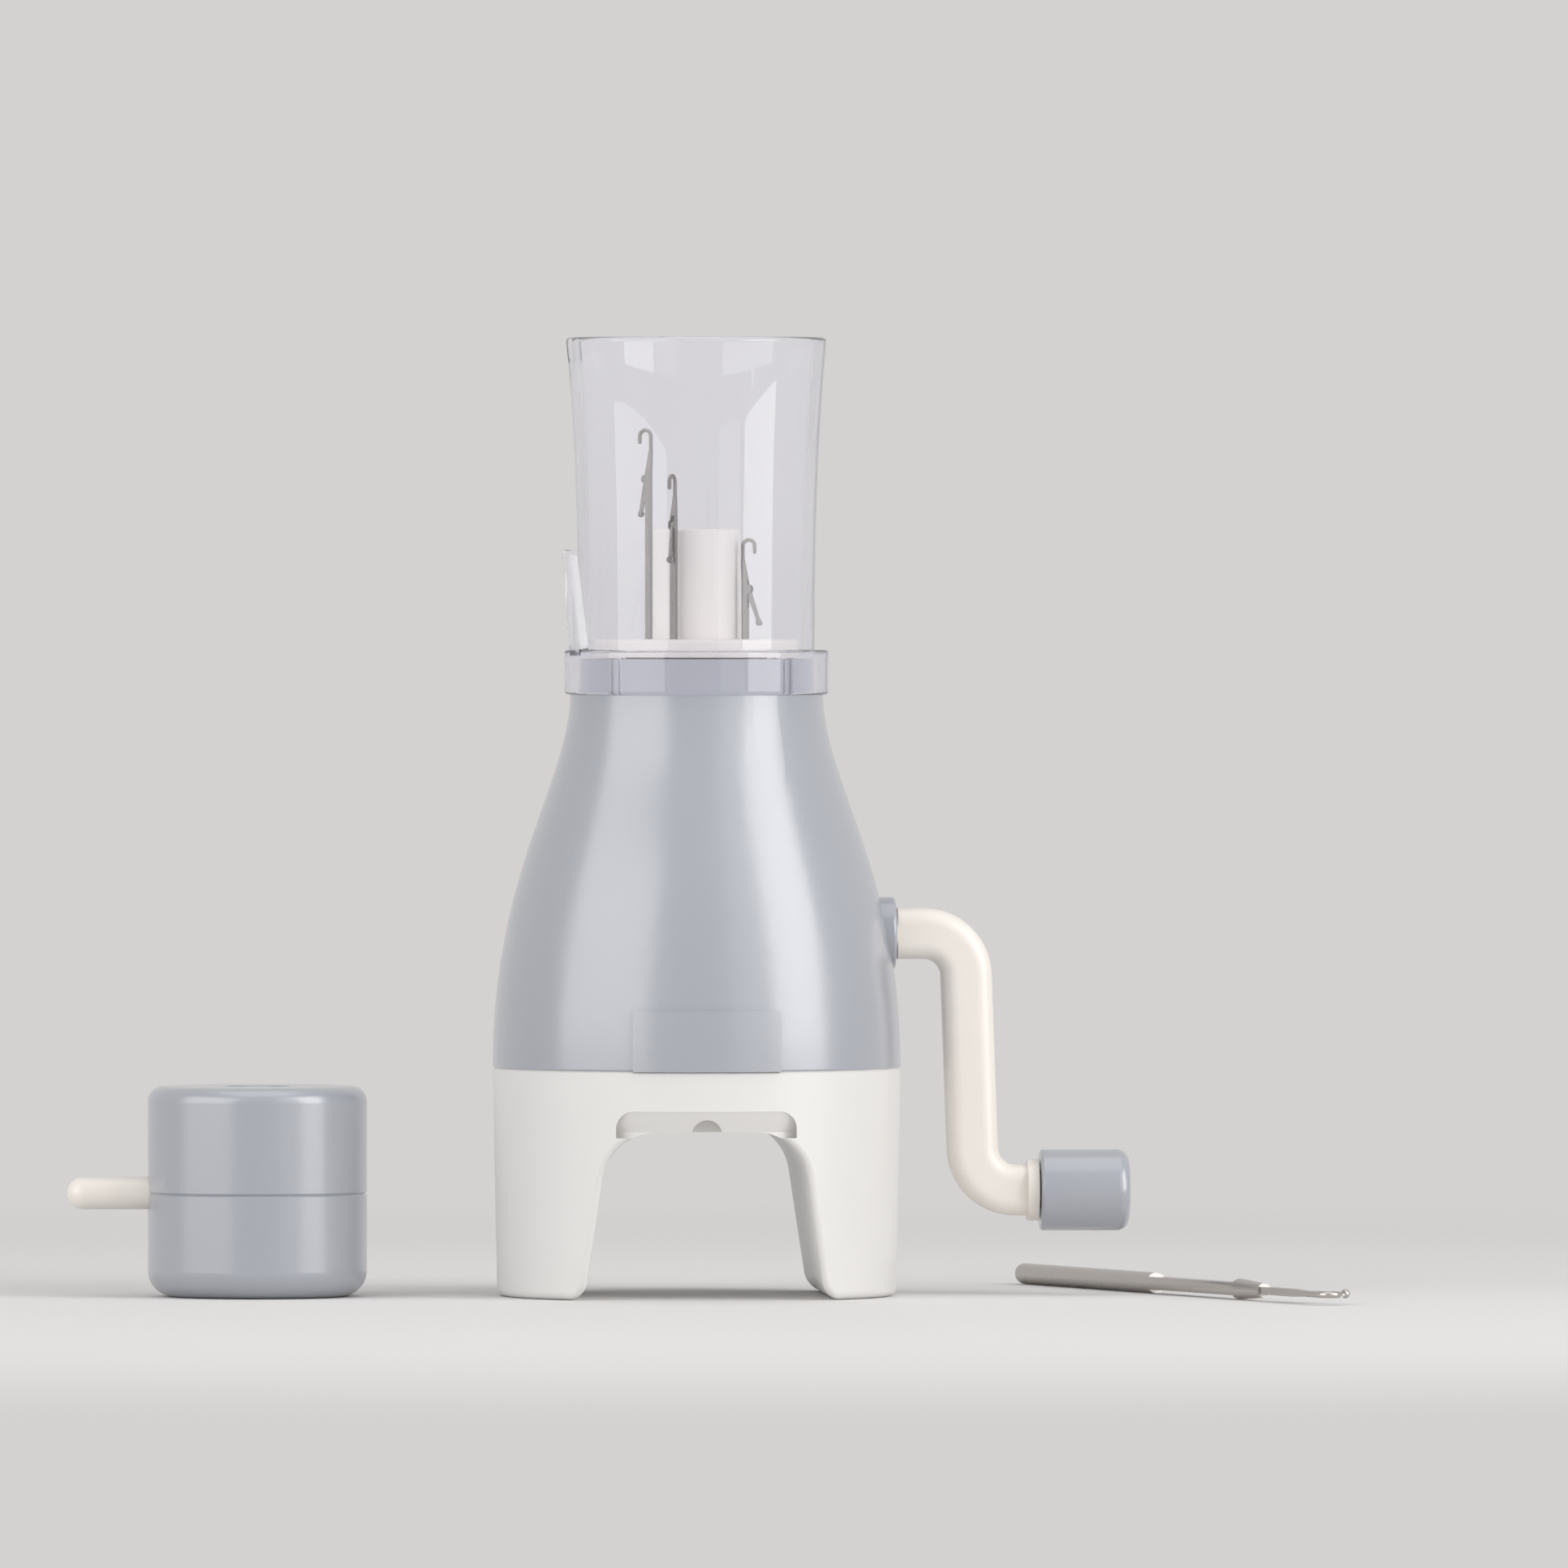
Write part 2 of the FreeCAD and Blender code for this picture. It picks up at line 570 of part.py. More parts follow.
def make_housing():
    """Blue-grey housing: a hollow bell with the collar, bearings and bosses."""
    outer = side_solid(0)
    seam = [edge for edge in outer.Edges if edge.BoundBox.ZMax < BASE_HEIGHT + NEAR]
    outer = outer.makeChamfer(EDGE_BREAK, seam)
    inner = side_solid(HOUSING_WALL).common(drum(BASE_TOP_RADIUS, BASE_HEIGHT - SPILL, CROWN_Z))
    collar_body, collar_hollow = collar()
    shell = outer.cut(inner)
    housing = joined([shell, collar_body, housing_bosses(outer), crank_boss(), badge_pad()])
    cutters = [collar_hollow,
               drum(ROTOR_BORE_RADIUS, CROWN_Z - SPILL, COLLAR_TOP_Z + SPILL),
               axle(SHAFT_RADIUS + RUNNING_FIT, 0, CRANK_BOSS_FACE + SPILL, z=CRANK_HEIGHT)]
    pilot = BASE_SCREW_RADIUS + PUSH_FIT
    pilot_top = BASE_SCREW_Z + BASE_SCREW_LENGTH + SPILL
    cutters += [drum(pilot, BASE_HEIGHT, pilot_top, x, y) for x, y in base_screw_places()]
    cam_pilot = drum(CAM_SCREW_RADIUS + PUSH_FIT, SLEEVE_Z, SLEEVE_Z + CAM_SCREW_LENGTH + SPILL,
                     CAM_SCREW_CIRCLE)
    cutters += [turned_copy(cam_pilot, angle) for angle in cam_screw_angles()]
    for cutter in cutters:
        housing = housing.cut(cutter)
    return housing


# ---- Cams ----

def cam_lift(angle):
    """Share of the full lift that the cam gives at an angle, from 0 to 1."""
    away = (angle - CAM_PEAK + 180) % 360 - 180
    span = CAM_RISE_SPAN if away < 0 else CAM_FALL_SPAN
    if abs(away) >= span:
        return 0.0
    return math.cos(math.radians(90 * away / span)) ** 2


def cam_edge(radius, offset):
    """Closed curve at a radius, the given height over the butt's path."""
    curve = Part.BSplineCurve()
    points = []
    for index in range(CAM_POINTS):
        angle = 360 / CAM_POINTS * index
        height = BUTT_LOW_Z + NEEDLE_LIFT * cam_lift(angle) + offset
        turn = math.radians(angle)
        points.append(Vector(radius * math.cos(turn), radius * math.sin(turn), height))
    curve.interpolate(points, PeriodicFlag=True)
    return curve.toShape()


def above_track(offset):
    """Solid over the cam surface that lies offset above the butt's path."""
    surface = Part.makeRuledSurface(cam_edge(CAM_INNER_RADIUS - SPILL, offset),
                                    cam_edge(CAM_OUTER_RADIUS + SPILL, offset))
    return surface.extrude(UP * (2 * (SLEEVE_TOP_Z - SLEEVE_Z)))


def make_raising_cam():
    """Lower half of the cam ring: the butts climb on its edge."""
    body = ring(CAM_OUTER_RADIUS, CAM_INNER_RADIUS, SLEEVE_Z + SLEEVE_LIP, SLEEVE_TOP_Z)
    return body.cut(above_track(-CAM_TRACK / 2))


def make_lowering_cam():
    """Upper half of the cam ring: it pulls the butts down again."""
    body = ring(CAM_OUTER_RADIUS, CAM_INNER_RADIUS, SLEEVE_Z + SLEEVE_LIP, SLEEVE_TOP_Z)
    return body.common(above_track(CAM_TRACK / 2))


def make_cam_sleeve():
    """Sleeve that holds the two cams, with a lip below and three ears."""
    sleeve = ring(SLEEVE_RADIUS, SLEEVE_BORE_RADIUS, SLEEVE_Z, SLEEVE_TOP_Z)
    lip = ring(SLEEVE_RADIUS, SLEEVE_BORE_RADIUS - CAM_WALL / 2, SLEEVE_Z, SLEEVE_Z + SLEEVE_LIP)
    ear_top = SLEEVE_Z + CAM_EAR - SLIDING_FIT
    ear = joined([drum(CAM_EAR_RADIUS, SLEEVE_Z, ear_top, CAM_SCREW_CIRCLE),
                  block((SLEEVE_RADIUS - SLEEVE_WALL / 2, CAM_SCREW_CIRCLE),
                        (-CAM_EAR_RADIUS, CAM_EAR_RADIUS), (SLEEVE_Z, ear_top))])
    ear = ear.cut(drum(CAM_SCREW_RADIUS + SLIDING_FIT, SLEEVE_Z - SPILL, ear_top + SPILL,
                       CAM_SCREW_CIRCLE))
    return joined([sleeve, lip] + [turned_copy(ear, angle) for angle in cam_screw_angles()])


def make_cam_screws():
    """Three screws that hold the cam sleeve."""
    one = screw(CAM_SCREW_RADIUS, CAM_SCREW_LENGTH, CAM_HEAD_RADIUS, CAM_HEAD_HEIGHT,
                Vector(CAM_SCREW_CIRCLE, 0, SLEEVE_Z), UP)
    return Part.Compound([turned_copy(one, angle) for angle in cam_screw_angles()])


# ---- Bevel gears ----

def tooth_flank(virtual_radius, addendum, dedendum):
    """Points (height, half width) of an involute flank on the developed back cone."""
    base_radius = virtual_radius * math.cos(math.radians(PRESSURE_ANGLE))
    thickness = math.pi * GEAR_MODULE / 2 - BACKLASH
    pressure = math.radians(PRESSURE_ANGLE)
    half_turn = thickness / (2 * virtual_radius) + math.tan(pressure) - pressure
    points = []
    for share in (0.0, 0.25, 0.5, 0.75, 1.0):
        radius = virtual_radius - dedendum + (addendum + dedendum) * share
        roll = math.acos(min(1.0, base_radius / radius))
        turn = half_turn - (math.tan(roll) - roll)
        points.append((radius * math.cos(turn) - virtual_radius, radius * math.sin(turn)))
    return points


def bevel_tooth(pitch_angle, cone_length, addendum, dedendum):
    """One tooth on the XZ plane of a bevel gear with its apex at the origin, opening upward."""
    along = Vector(math.sin(pitch_angle), 0, math.cos(pitch_angle))
    outward = Vector(math.cos(pitch_angle), 0, -math.sin(pitch_angle))
    virtual_radius = cone_length * math.tan(pitch_angle)
    flank = tooth_flank(virtual_radius, addendum, dedendum)
    root_height, root_half = flank[0]
    outline = [(root_height - 0.15 * GEAR_MODULE, root_half)] + flank
    outline += [(height, -half) for height, half in reversed(outline)]
    wires = []
    for scale in (1.0, (cone_length - TOOTH_FACE) / cone_length):
        corners = [(along * cone_length + outward * height + ALONG_Y * half) * scale
                   for height, half in outline]
        wires.append(Part.makePolygon(corners + corners[:1]))
    return Part.makeLoft(wires, True, True)


def bevel_gear(teeth, mate_teeth, back, hub_radius, bore, first_angle):
    """Bevel gear about Z with its apex at the origin: teeth on a cone, and a hub up to back."""
    pitch_angle = math.atan2(teeth, mate_teeth)
    cone_length = math.hypot(PITCH_RADIUS, PINION_PITCH_RADIUS)
    addendum = GEAR_MODULE * ADDENDUM_SHARE
    dedendum = GEAR_MODULE * DEDENDUM_SHARE
    along = Vector(math.sin(pitch_angle), 0, math.cos(pitch_angle))
    outward = Vector(math.cos(pitch_angle), 0, -math.sin(pitch_angle))
    big_root = along * cone_length - outward * dedendum
    small_root = big_root * ((cone_length - TOOTH_FACE) / cone_length)
    blank = turned([(bore, small_root.z - dedendum / 2), (small_root.x, small_root.z),
                    (big_root.x, big_root.z), (max(big_root.x, hub_radius), back), (bore, back)])
    tooth = bevel_tooth(pitch_angle, cone_length, addendum, dedendum)
    crowd = [turned_copy(tooth, first_angle + 360 / teeth * index) for index in range(teeth)]
    gear = blank.multiFuse(crowd)
    return gear.cut(drum(bore, -SPILL, back + SPILL))


def gear_screw_angles():
    """Where the rotor's gear is screwed on, midway between needles."""
    start = FIRST_NEEDLE + 180 / NEEDLES
    return [start + 360 / GEAR_SCREWS * index for index in range(GEAR_SCREWS)]


def gear_screw_circle():
    """Radius on which the gear's screws stand, in the middle of its hub."""
    return TUBE_RADIUS + GEAR_HEAD_RADIUS + GAP


def gear_screw_seat():
    """Height of the seats under the gear's screw heads."""
    return GEAR_BACK_Z - 2 * GEAR_WEB


def make_rotor_gear():
    """Crown bevel gear under the rotor."""
    gear = bevel_gear(GEAR_TEETH, PINION_TEETH, GEAR_BACK_Z - CRANK_HEIGHT, PITCH_RADIUS,
                      TUBE_RADIUS + PUSH_FIT, 0)
    gear.translate(Vector(0, 0, CRANK_HEIGHT))
    for angle in gear_screw_angles():
        hole = drum(GEAR_SCREW_RADIUS + SLIDING_FIT, CRANK_HEIGHT, GEAR_BACK_Z + SPILL,
                    gear_screw_circle())
        sink = drum(GEAR_HEAD_RADIUS + SLIDING_FIT, CRANK_HEIGHT, gear_screw_seat(),
                    gear_screw_circle())
        gear = gear.cut(turned_copy(hole, angle)).cut(turned_copy(sink, angle))
    return gear


def make_gear_screws():
    """Two screws that hold the gear to the rotor."""
    one = screw(GEAR_SCREW_RADIUS, GEAR_SCREW_LENGTH, GEAR_HEAD_RADIUS, GEAR_HEAD_HEIGHT,
                Vector(gear_screw_circle(), 0, gear_screw_seat()), UP)
    return Part.Compound([turned_copy(one, angle) for angle in gear_screw_angles()])


def make_pinion():
    """Bevel pinion on the crank's shaft, with a gap of its teeth at the top."""
    first_angle = 180 / PINION_TEETH
    pinion = bevel_gear(PINION_TEETH, GEAR_TEETH, PINION_BACK_X, PINION_HUB_RADIUS,
                        SHAFT_RADIUS * 0.5, first_angle)
    pinion.rotate(Vector(), ALONG_Y, 90)
    pinion.translate(Vector(0, 0, CRANK_HEIGHT))
    return pinion.cut(drive_shaft(PUSH_FIT, 0, PINION_BACK_X + SPILL))


# ---- Rotor ----

def make_rotor():
    """White rotor: a slotted barrel under a round head."""
    head = drum(HEAD_RADIUS, HEAD_Z, HEAD_TOP_Z)
    rim = [edge for edge in head.Edges if edge.BoundBox.ZMin > HEAD_TOP_Z - SAME]
    head = head.makeFillet(HEAD_ROUNDING, rim)
    rotor = joined([head, drum(ROTOR_RADIUS, ROTOR_Z, HEAD_Z)])
    rotor = rotor.cut(drum(TUBE_RADIUS + PUSH_FIT, ROTOR_Z - SPILL, HEAD_TOP_Z + SPILL))
    half = NEEDLE_THICK / 2 + SLIDING_FIT
    inner = NEEDLE_INNER - SLIDING_FIT
    barrel_slot = block((inner, ROTOR_RADIUS + SPILL), (-half, half), (ROTOR_Z - SPILL, HEAD_Z))
    head_slot = block((inner, NEEDLE_OUTER + SLIDING_FIT), (-half, half),
                      (HEAD_Z - SPILL, HEAD_TOP_Z + SPILL))
    for angle in needle_angles():
        rotor = rotor.cut(turned_copy(barrel_slot, angle)).cut(turned_copy(head_slot, angle))
    for angle in gear_screw_angles():
        pilot = drum(GEAR_SCREW_RADIUS + PUSH_FIT, ROTOR_Z - SPILL, ROTOR_Z + GEAR_SCREW_LENGTH,
                     gear_screw_circle())
        rotor = rotor.cut(turned_copy(pilot, angle))
    return rotor


def make_core_tube():
    """White tube that the cord forms in and runs down through."""
    tube = ring(TUBE_RADIUS, TUBE_BORE, TUBE_Z, TUBE_TOP)
    rim = [edge for edge in tube.Edges if edge.BoundBox.ZMin > TUBE_TOP - SAME]
    return tube.makeFillet(0.4 * (TUBE_RADIUS - TUBE_BORE), rim)


# ---- Needles ----

def needle_angles():
    """Angles of the needles round the mill's axis."""
    return [FIRST_NEEDLE + 360 / NEEDLES * index for index in range(NEEDLES)]


def needle_top(angle):
    """Height of a needle's hook where the cam holds it at rest."""
    return NEEDLE_LOW + NEEDLE_LIFT * cam_lift(angle)


def hook(wire, bend, inset, tip, neck):
    """Bent wire with its top at z = 0: up on the inside, over, and down on the outside."""
    top = -wire - bend
    start = Vector(-inset, 0, -neck)
    disc = Part.Face(Part.Wire(Part.makeCircle(wire, Vector(-inset, 0, top), UP)))
    arch = disc.revolve(Vector(bend - inset, 0, top), ALONG_Y, 180)
    riser = Part.makeCylinder(wire, top + neck, start)
    end = Vector(2 * bend - inset, 0, top - tip)
    drop = Part.makeCylinder(wire, tip, end)
    return joined([riser, arch, drop, Part.makeSphere(wire, end)])


def latch_stem(wire, bend, inset, tip, depth, thick, length, drop, pivot, latch_thick):
    """Needle with its hook's top at z = 0, facing +X, with a slot and rivet for its latch."""
    neck = 2 * wire + 2 * bend + tip
    flat = 2 * neck
    top = [Vector(x - inset, y, -neck) for x, y in _corners(wire * 1.7, wire * 1.7)]
    low = [Vector(x, y, -flat) for x, y in _corners(depth, thick)]
    taper = Part.makeLoft([Part.makePolygon(top + top[:1]), Part.makePolygon(low + low[:1])],
                          True, True)
    stem = block((-depth / 2, depth / 2), (-thick / 2, thick / 2), (-length, -flat))
    cheek = cheek_radius(thick)
    rivet = rivet_radius(thick)
    cheeks = Part.makeCylinder(cheek, thick, Vector(pivot, -thick / 2, -drop), ALONG_Y)
    needle = joined([hook(wire, bend, inset, tip, neck + wire), taper, stem, cheeks])
    half = latch_thick / 2 + SLIDING_FIT
    slot = block((pivot - cheek + SLIDING_FIT, depth + cheek), (-half, half),
                 (-drop - 4 * cheek, -flat + cheek / 2))
    pin = Part.makeCylinder(rivet, thick, Vector(pivot, -thick / 2, -drop), ALONG_Y)
    return needle.cut(slot).fuse(pin).removeSplitter()


def _corners(width, height):
    """Corners of a rectangle about the origin."""
    return [(-width / 2, -height / 2), (width / 2, -height / 2),
            (width / 2, height / 2), (-width / 2, height / 2)]


def cheek_radius(thick):
    """Radius of the needle's cheeks round the latch's rivet."""
    return 0.8 * thick


def rivet_radius(thick):
    """Radius of the latch's rivet."""
    return 0.25 * thick


def latch_blade(thick, length, latch_thick, angle, origin):
    """Latch with its eye at the origin, turned by angle from straight up towards +X."""
    eye = cheek_radius(thick) - 2.5 * SLIDING_FIT
    spoon = 0.6 * thick
    blade = Part.makeCylinder(eye, latch_thick, Vector(0, -latch_thick / 2, 0), ALONG_Y)
    arm = [Vector(-eye * 0.8, 0, 0), Vector(eye * 0.8, 0, 0),
           Vector(spoon * 0.5, 0, length - spoon), Vector(-spoon * 0.5, 0, length - spoon)]
    arm = Part.Face(Part.makePolygon(arm + arm[:1])).extrude(ALONG_Y * latch_thick)
    arm.translate(ALONG_Y * (-latch_thick / 2))
    cup = Part.makeSphere(spoon, Vector(0, 0, length - spoon))
    dish = Part.makeSphere(spoon * 0.9, Vector(-spoon, 0, length - spoon))
    hole = Part.makeCylinder(rivet_radius(thick) + RUNNING_FIT * 0.75, thick,
                             Vector(0, -thick / 2, 0), ALONG_Y)
    latch = joined([blade, arm, cup]).cut(dish).cut(hole)
    latch.rotate(Vector(), ALONG_Y, angle)
    latch.translate(origin)
    return latch


def make_needle(angle):
    """Latch needle with its butt, standing where the cam holds it."""
    length = NEEDLE_REACH + BUTT_HEIGHT / 2 + NEEDLE_TAIL
    needle = latch_stem(HOOK_WIRE, HOOK_BEND, HOOK_SET, HOOK_TIP, NEEDLE_DEPTH, NEEDLE_THICK,
                        length, LATCH_DROP, LATCH_SET, LATCH_THICK)
    butt = block((0, BUTT_RADIUS - NEEDLE_CIRCLE), (-NEEDLE_THICK / 2, NEEDLE_THICK / 2),
                 (-NEEDLE_REACH - BUTT_HEIGHT / 2, -NEEDLE_REACH + BUTT_HEIGHT / 2))
    needle = joined([needle, butt])
    needle.translate(Vector(NEEDLE_CIRCLE, 0, needle_top(angle)))
    return turned_copy(needle, angle)


def make_latch(angle, open_angle):
    """Latch of the needle at an angle, hanging open."""
    pivot = Vector(NEEDLE_CIRCLE + LATCH_SET, 0, needle_top(angle) - LATCH_DROP)
    latch = latch_blade(NEEDLE_THICK, LATCH_LENGTH, LATCH_THICK, open_angle, pivot)
    return turned_copy(latch, angle)


# ---- Shield ----

def shield_curve(inset):
    """Side of the shield from the ring to the rim, moved inward by inset."""
    low = Vector(WAIST_RADIUS - inset, 0, RING_TOP_Z - SHIELD_WALL)
    waist = Vector(WAIST_RADIUS - inset, 0, SHOULDER_Z + WAIST_HEIGHT)
    rim = Vector(RIM_RADIUS - inset, 0, RIM_Z)
    curve = Part.BezierCurve()
    curve.setPoles([low, waist, (waist + rim) * 0.5 - ALONG_X * SHIELD_BOW, rim])
    return curve.toShape()


def shield_wall():
    """Thin flared wall with a rounded rim."""
    outer = shield_curve(0)
    inner = shield_curve(SHIELD_WALL)
    low_out, high_out = sorted((v.Point for v in outer.Vertexes), key=lambda point: point.z)
    low_in, high_in = sorted((v.Point for v in inner.Vertexes), key=lambda point: point.z)
    wire = Part.Wire([outer, Part.makeLine(high_out, high_in), inner,
                      Part.makeLine(low_in, low_out)])
    wall = Part.Face(wire).revolve(Vector(), UP, 360)
    rim = [edge for edge in wall.Edges if edge.BoundBox.ZMin > RIM_Z - NEAR]
    return wall.makeFillet(RIM_ROUNDING, rim)


def yarn_finger():
    """Thin finger on the ring, near its far side from the crank, leaning out at its top."""
    low_z = RING_TOP_Z - SPILL
    root = RING_RADIUS - FINGER_THICK / 2
    tip = root + FINGER_LEAN
    top_z = RING_TOP_Z + FINGER_HEIGHT - FINGER_CURL
    low = [Vector(-root + x, y, low_z) for x, y in _corners(FINGER_THICK, FINGER_WIDTH)]
    high = [Vector(-tip + x, y, top_z) for x, y in _corners(FINGER_TIP_THICK, FINGER_TIP_WIDTH)]
    blade = Part.makeLoft([Part.makePolygon(low + low[:1]), Part.makePolygon(high + high[:1])],
                          True, True)
    curl = Part.makeCylinder(FINGER_CURL, FINGER_TIP_WIDTH,
                             Vector(-tip, -FINGER_TIP_WIDTH / 2, top_z), ALONG_Y)
    return turned_copy(joined([blade, curl]), FINGER_TURN)


def yarn_slot():
    """Slot in the rim over the finger, with a round end."""
    reach = RIM_RADIUS + SPILL
    end_z = RIM_Z - SLOT_DEPTH + SLOT_WIDTH / 2
    slot = block((-reach, -WAIST_RADIUS / 2), (-SLOT_WIDTH / 2, SLOT_WIDTH / 2),
                 (end_z, RIM_Z + SPILL))
    return slot.fuse(axle(SLOT_WIDTH / 2, -reach, -WAIST_RADIUS / 2, z=end_z))


def make_shield():
    """Clear shield: a flared wall on a ring that lifts off the collar."""
    foot = drum(RING_RADIUS, SHOULDER_Z + SEAT, RING_TOP_Z)
    foot = foot.makeFillet(2 * EDGE_BREAK, [edge for edge in foot.Edges if edge.Closed])
    foot = foot.cut(drum(RING_BORE_RADIUS, SHOULDER_Z, RING_TOP_Z + SPILL))
    bridge_low = max(COLLAR_TOP_Z + GAP, RING_TOP_Z - SHIELD_WALL)
    bridge = ring(RING_BORE_RADIUS + RING_WALL / 2, WAIST_RADIUS - SHIELD_WALL, bridge_low,
                  RING_TOP_Z)
    rib = block((COLLAR_RADIUS - RIB_DEPTH, RING_BORE_RADIUS + RING_WALL / 2),
                (-KEYWAY_WIDTH / 2 + SLIDING_FIT * 2, KEYWAY_WIDTH / 2 - SLIDING_FIT * 2),
                (SHOULDER_Z + GAP, RING_TOP_Z - SHIELD_WALL / 2))
    ribs = [turned_copy(rib, KEYWAY_START + 360 / KEYWAYS * index) for index in range(KEYWAYS)]
    wall = shield_wall().cut(drum(RING_RADIUS + SPILL, 0, bridge_low))
    return joined([foot, bridge, wall, yarn_finger()] + ribs).cut(yarn_slot())


# ---- Crank ----

def drive_shaft(grow, start, end):
    """The crank's shaft between two x places, with its drive flat, made larger by grow."""
    rod = axle(SHAFT_RADIUS + grow, start, end, z=CRANK_HEIGHT)
    flat = block((start - SPILL, PINION_BACK_X), (-SHAFT_RADIUS * 2, SHAFT_RADIUS * 2),
                 (CRANK_HEIGHT + SHAFT_FLAT + grow, CRANK_HEIGHT + SHAFT_RADIUS * 2))
    return rod.cut(flat)


def arm_section(x, z):
    """Rounded cross-section of the arm, across X."""
    corners = [Vector(x, a, b + z) for a, b in _corners(ARM_DEPTH, ARM_WIDTH)]
    return rounded_wire(corners, [ARM_ROUNDING] * len(corners))


def arm_path():
    """Middle line of the arm: out from the boss, down, and out again to the knob."""
    start = Vector(CRANK_BOSS_FACE + GAP, 0, CRANK_HEIGHT)
    upper = Vector(ARM_X, 0, CRANK_HEIGHT)
    lower = Vector(ARM_X + ARM_LEAN, 0, KNOB_Z)
    end = Vector(ARM_END_X, 0, KNOB_Z)
    points = [start]
    edges = []
    for back, corner, ahead in ((start, upper, lower), (upper, lower, end)):
        inward = (back - corner).normalize()
        outward = (ahead - corner).normalize()
        half = inward.getAngle(outward) / 2
        reach = ARM_BEND_RADIUS / math.tan(half)
        middle_line = (inward + outward).normalize()
        middle = corner + middle_line * (ARM_BEND_RADIUS / math.sin(half) - ARM_BEND_RADIUS)
        enter = corner + inward * reach
        leave = corner + outward * reach
        edges.append(Part.makeLine(points[-1], enter))
        edges.append(Part.Arc(enter, middle, leave).toShape())
        points.append(leave)
    edges.append(Part.makeLine(points[-1], end))
    return Part.Wire(edges)


def make_crank_arm():
    """White crank: shaft, bent arm, end collar and the knob's spindle, moulded as one."""
    arm = arm_path().makePipeShell([arm_section(CRANK_BOSS_FACE + GAP, CRANK_HEIGHT)], True, False)
    shaft = drive_shaft(0, shaft_end(), CRANK_BOSS_FACE + GAP)
    end_collar = axle(ARM_COLLAR_RADIUS, ARM_END_X, ARM_END_X + ARM_COLLAR, z=KNOB_Z)
    spindle_end = KNOB_X + KNOB_LENGTH - KNOB_END_WALL - GAP
    spindle = axle(SPINDLE_RADIUS, ARM_END_X, spindle_end, z=KNOB_Z)
    bead = axle(SPINDLE_RADIUS + SPINDLE_BEAD, spindle_end - 3 * SPINDLE_BEAD,
                spindle_end - SPINDLE_BEAD, z=KNOB_Z)
    arm = joined([Part.Solid(arm), shaft, end_collar, spindle, bead])
    pilot = axle(PINION_SCREW_RADIUS + PUSH_FIT, shaft_end() - SPILL,
                 shaft_end() + PINION_SCREW_LENGTH, z=CRANK_HEIGHT)
    return arm.cut(pilot)


def shaft_end():
    """X place of the shaft's inner end, just short of the pinion's face."""
    cone_length = math.hypot(PITCH_RADIUS, PINION_PITCH_RADIUS)
    return PITCH_RADIUS * (cone_length - TOOTH_FACE) / cone_length + PUSH_FIT


def make_pinion_washer():
    """Washer between the pinion's face and its screw."""
    face = pinion_face()
    washer = axle(WASHER_RADIUS, face - WASHER, face, z=CRANK_HEIGHT)
    return washer.cut(axle(PINION_SCREW_RADIUS + SLIDING_FIT, 0, PITCH_RADIUS, z=CRANK_HEIGHT))


def pinion_face():
    """X place of the pinion's inner face."""
    cone_length = math.hypot(PITCH_RADIUS, PINION_PITCH_RADIUS)
    small = (cone_length - TOOTH_FACE) / cone_length
    dedendum = GEAR_MODULE * DEDENDUM_SHARE
    root = (PITCH_RADIUS + dedendum * PINION_PITCH_RADIUS / cone_length) * small
    return root - dedendum / 2


def make_pinion_screw():
    """Screw that holds the pinion on the shaft."""
    return screw(PINION_SCREW_RADIUS, PINION_SCREW_LENGTH, PINION_HEAD_RADIUS,
                 PINION_HEAD_HEIGHT, Vector(pinion_face() - WASHER, 0, CRANK_HEIGHT), ALONG_X)


def make_knob():
    """Blue-grey knob, snapped over the spindle's bead."""
    knob = axle(KNOB_RADIUS, KNOB_X, KNOB_X + KNOB_LENGTH, z=KNOB_Z)
    near = [edge for edge in knob.Edges if edge.BoundBox.XMax < KNOB_X + SAME]
    knob = knob.makeFillet(KNOB_ROUNDING * 0.3, near)
    far = [edge for edge in knob.Edges if edge.BoundBox.XMin > KNOB_X + KNOB_LENGTH - SAME]
    knob = knob.makeFillet(KNOB_ROUNDING, far)
    bore_end = KNOB_X + KNOB_LENGTH - KNOB_END_WALL
    knob = knob.cut(axle(SPINDLE_RADIUS + RUNNING_FIT, KNOB_X - SPILL, bore_end, z=KNOB_Z))
    groove_end = bore_end - GAP
    groove = axle(SPINDLE_RADIUS + SPINDLE_BEAD + RUNNING_FIT, groove_end - 4 * SPINDLE_BEAD,
                  groove_end, z=KNOB_Z)
    return knob.cut(groove)


# ---- Cord weight ----

def at_weight(shape):
    """Moves a shape made about the origin to where the weight stands."""
    shape.translate(Vector(WEIGHT_X, WEIGHT_Y, 0))
    return shape


def weight_body():
    """Outer form of the weight, both halves in one."""
    body = drum(WEIGHT_RADIUS, 0, WEIGHT_HEIGHT)
    foot = [edge for edge in body.Edges if edge.BoundBox.ZMax < SAME]
    body = body.makeFillet(WEIGHT_FOOT_ROUNDING, foot)
    top = [edge for edge in body.Edges if edge.BoundBox.ZMin > WEIGHT_HEIGHT - SAME]
    return body.makeFillet(WEIGHT_TOP_ROUNDING, top)


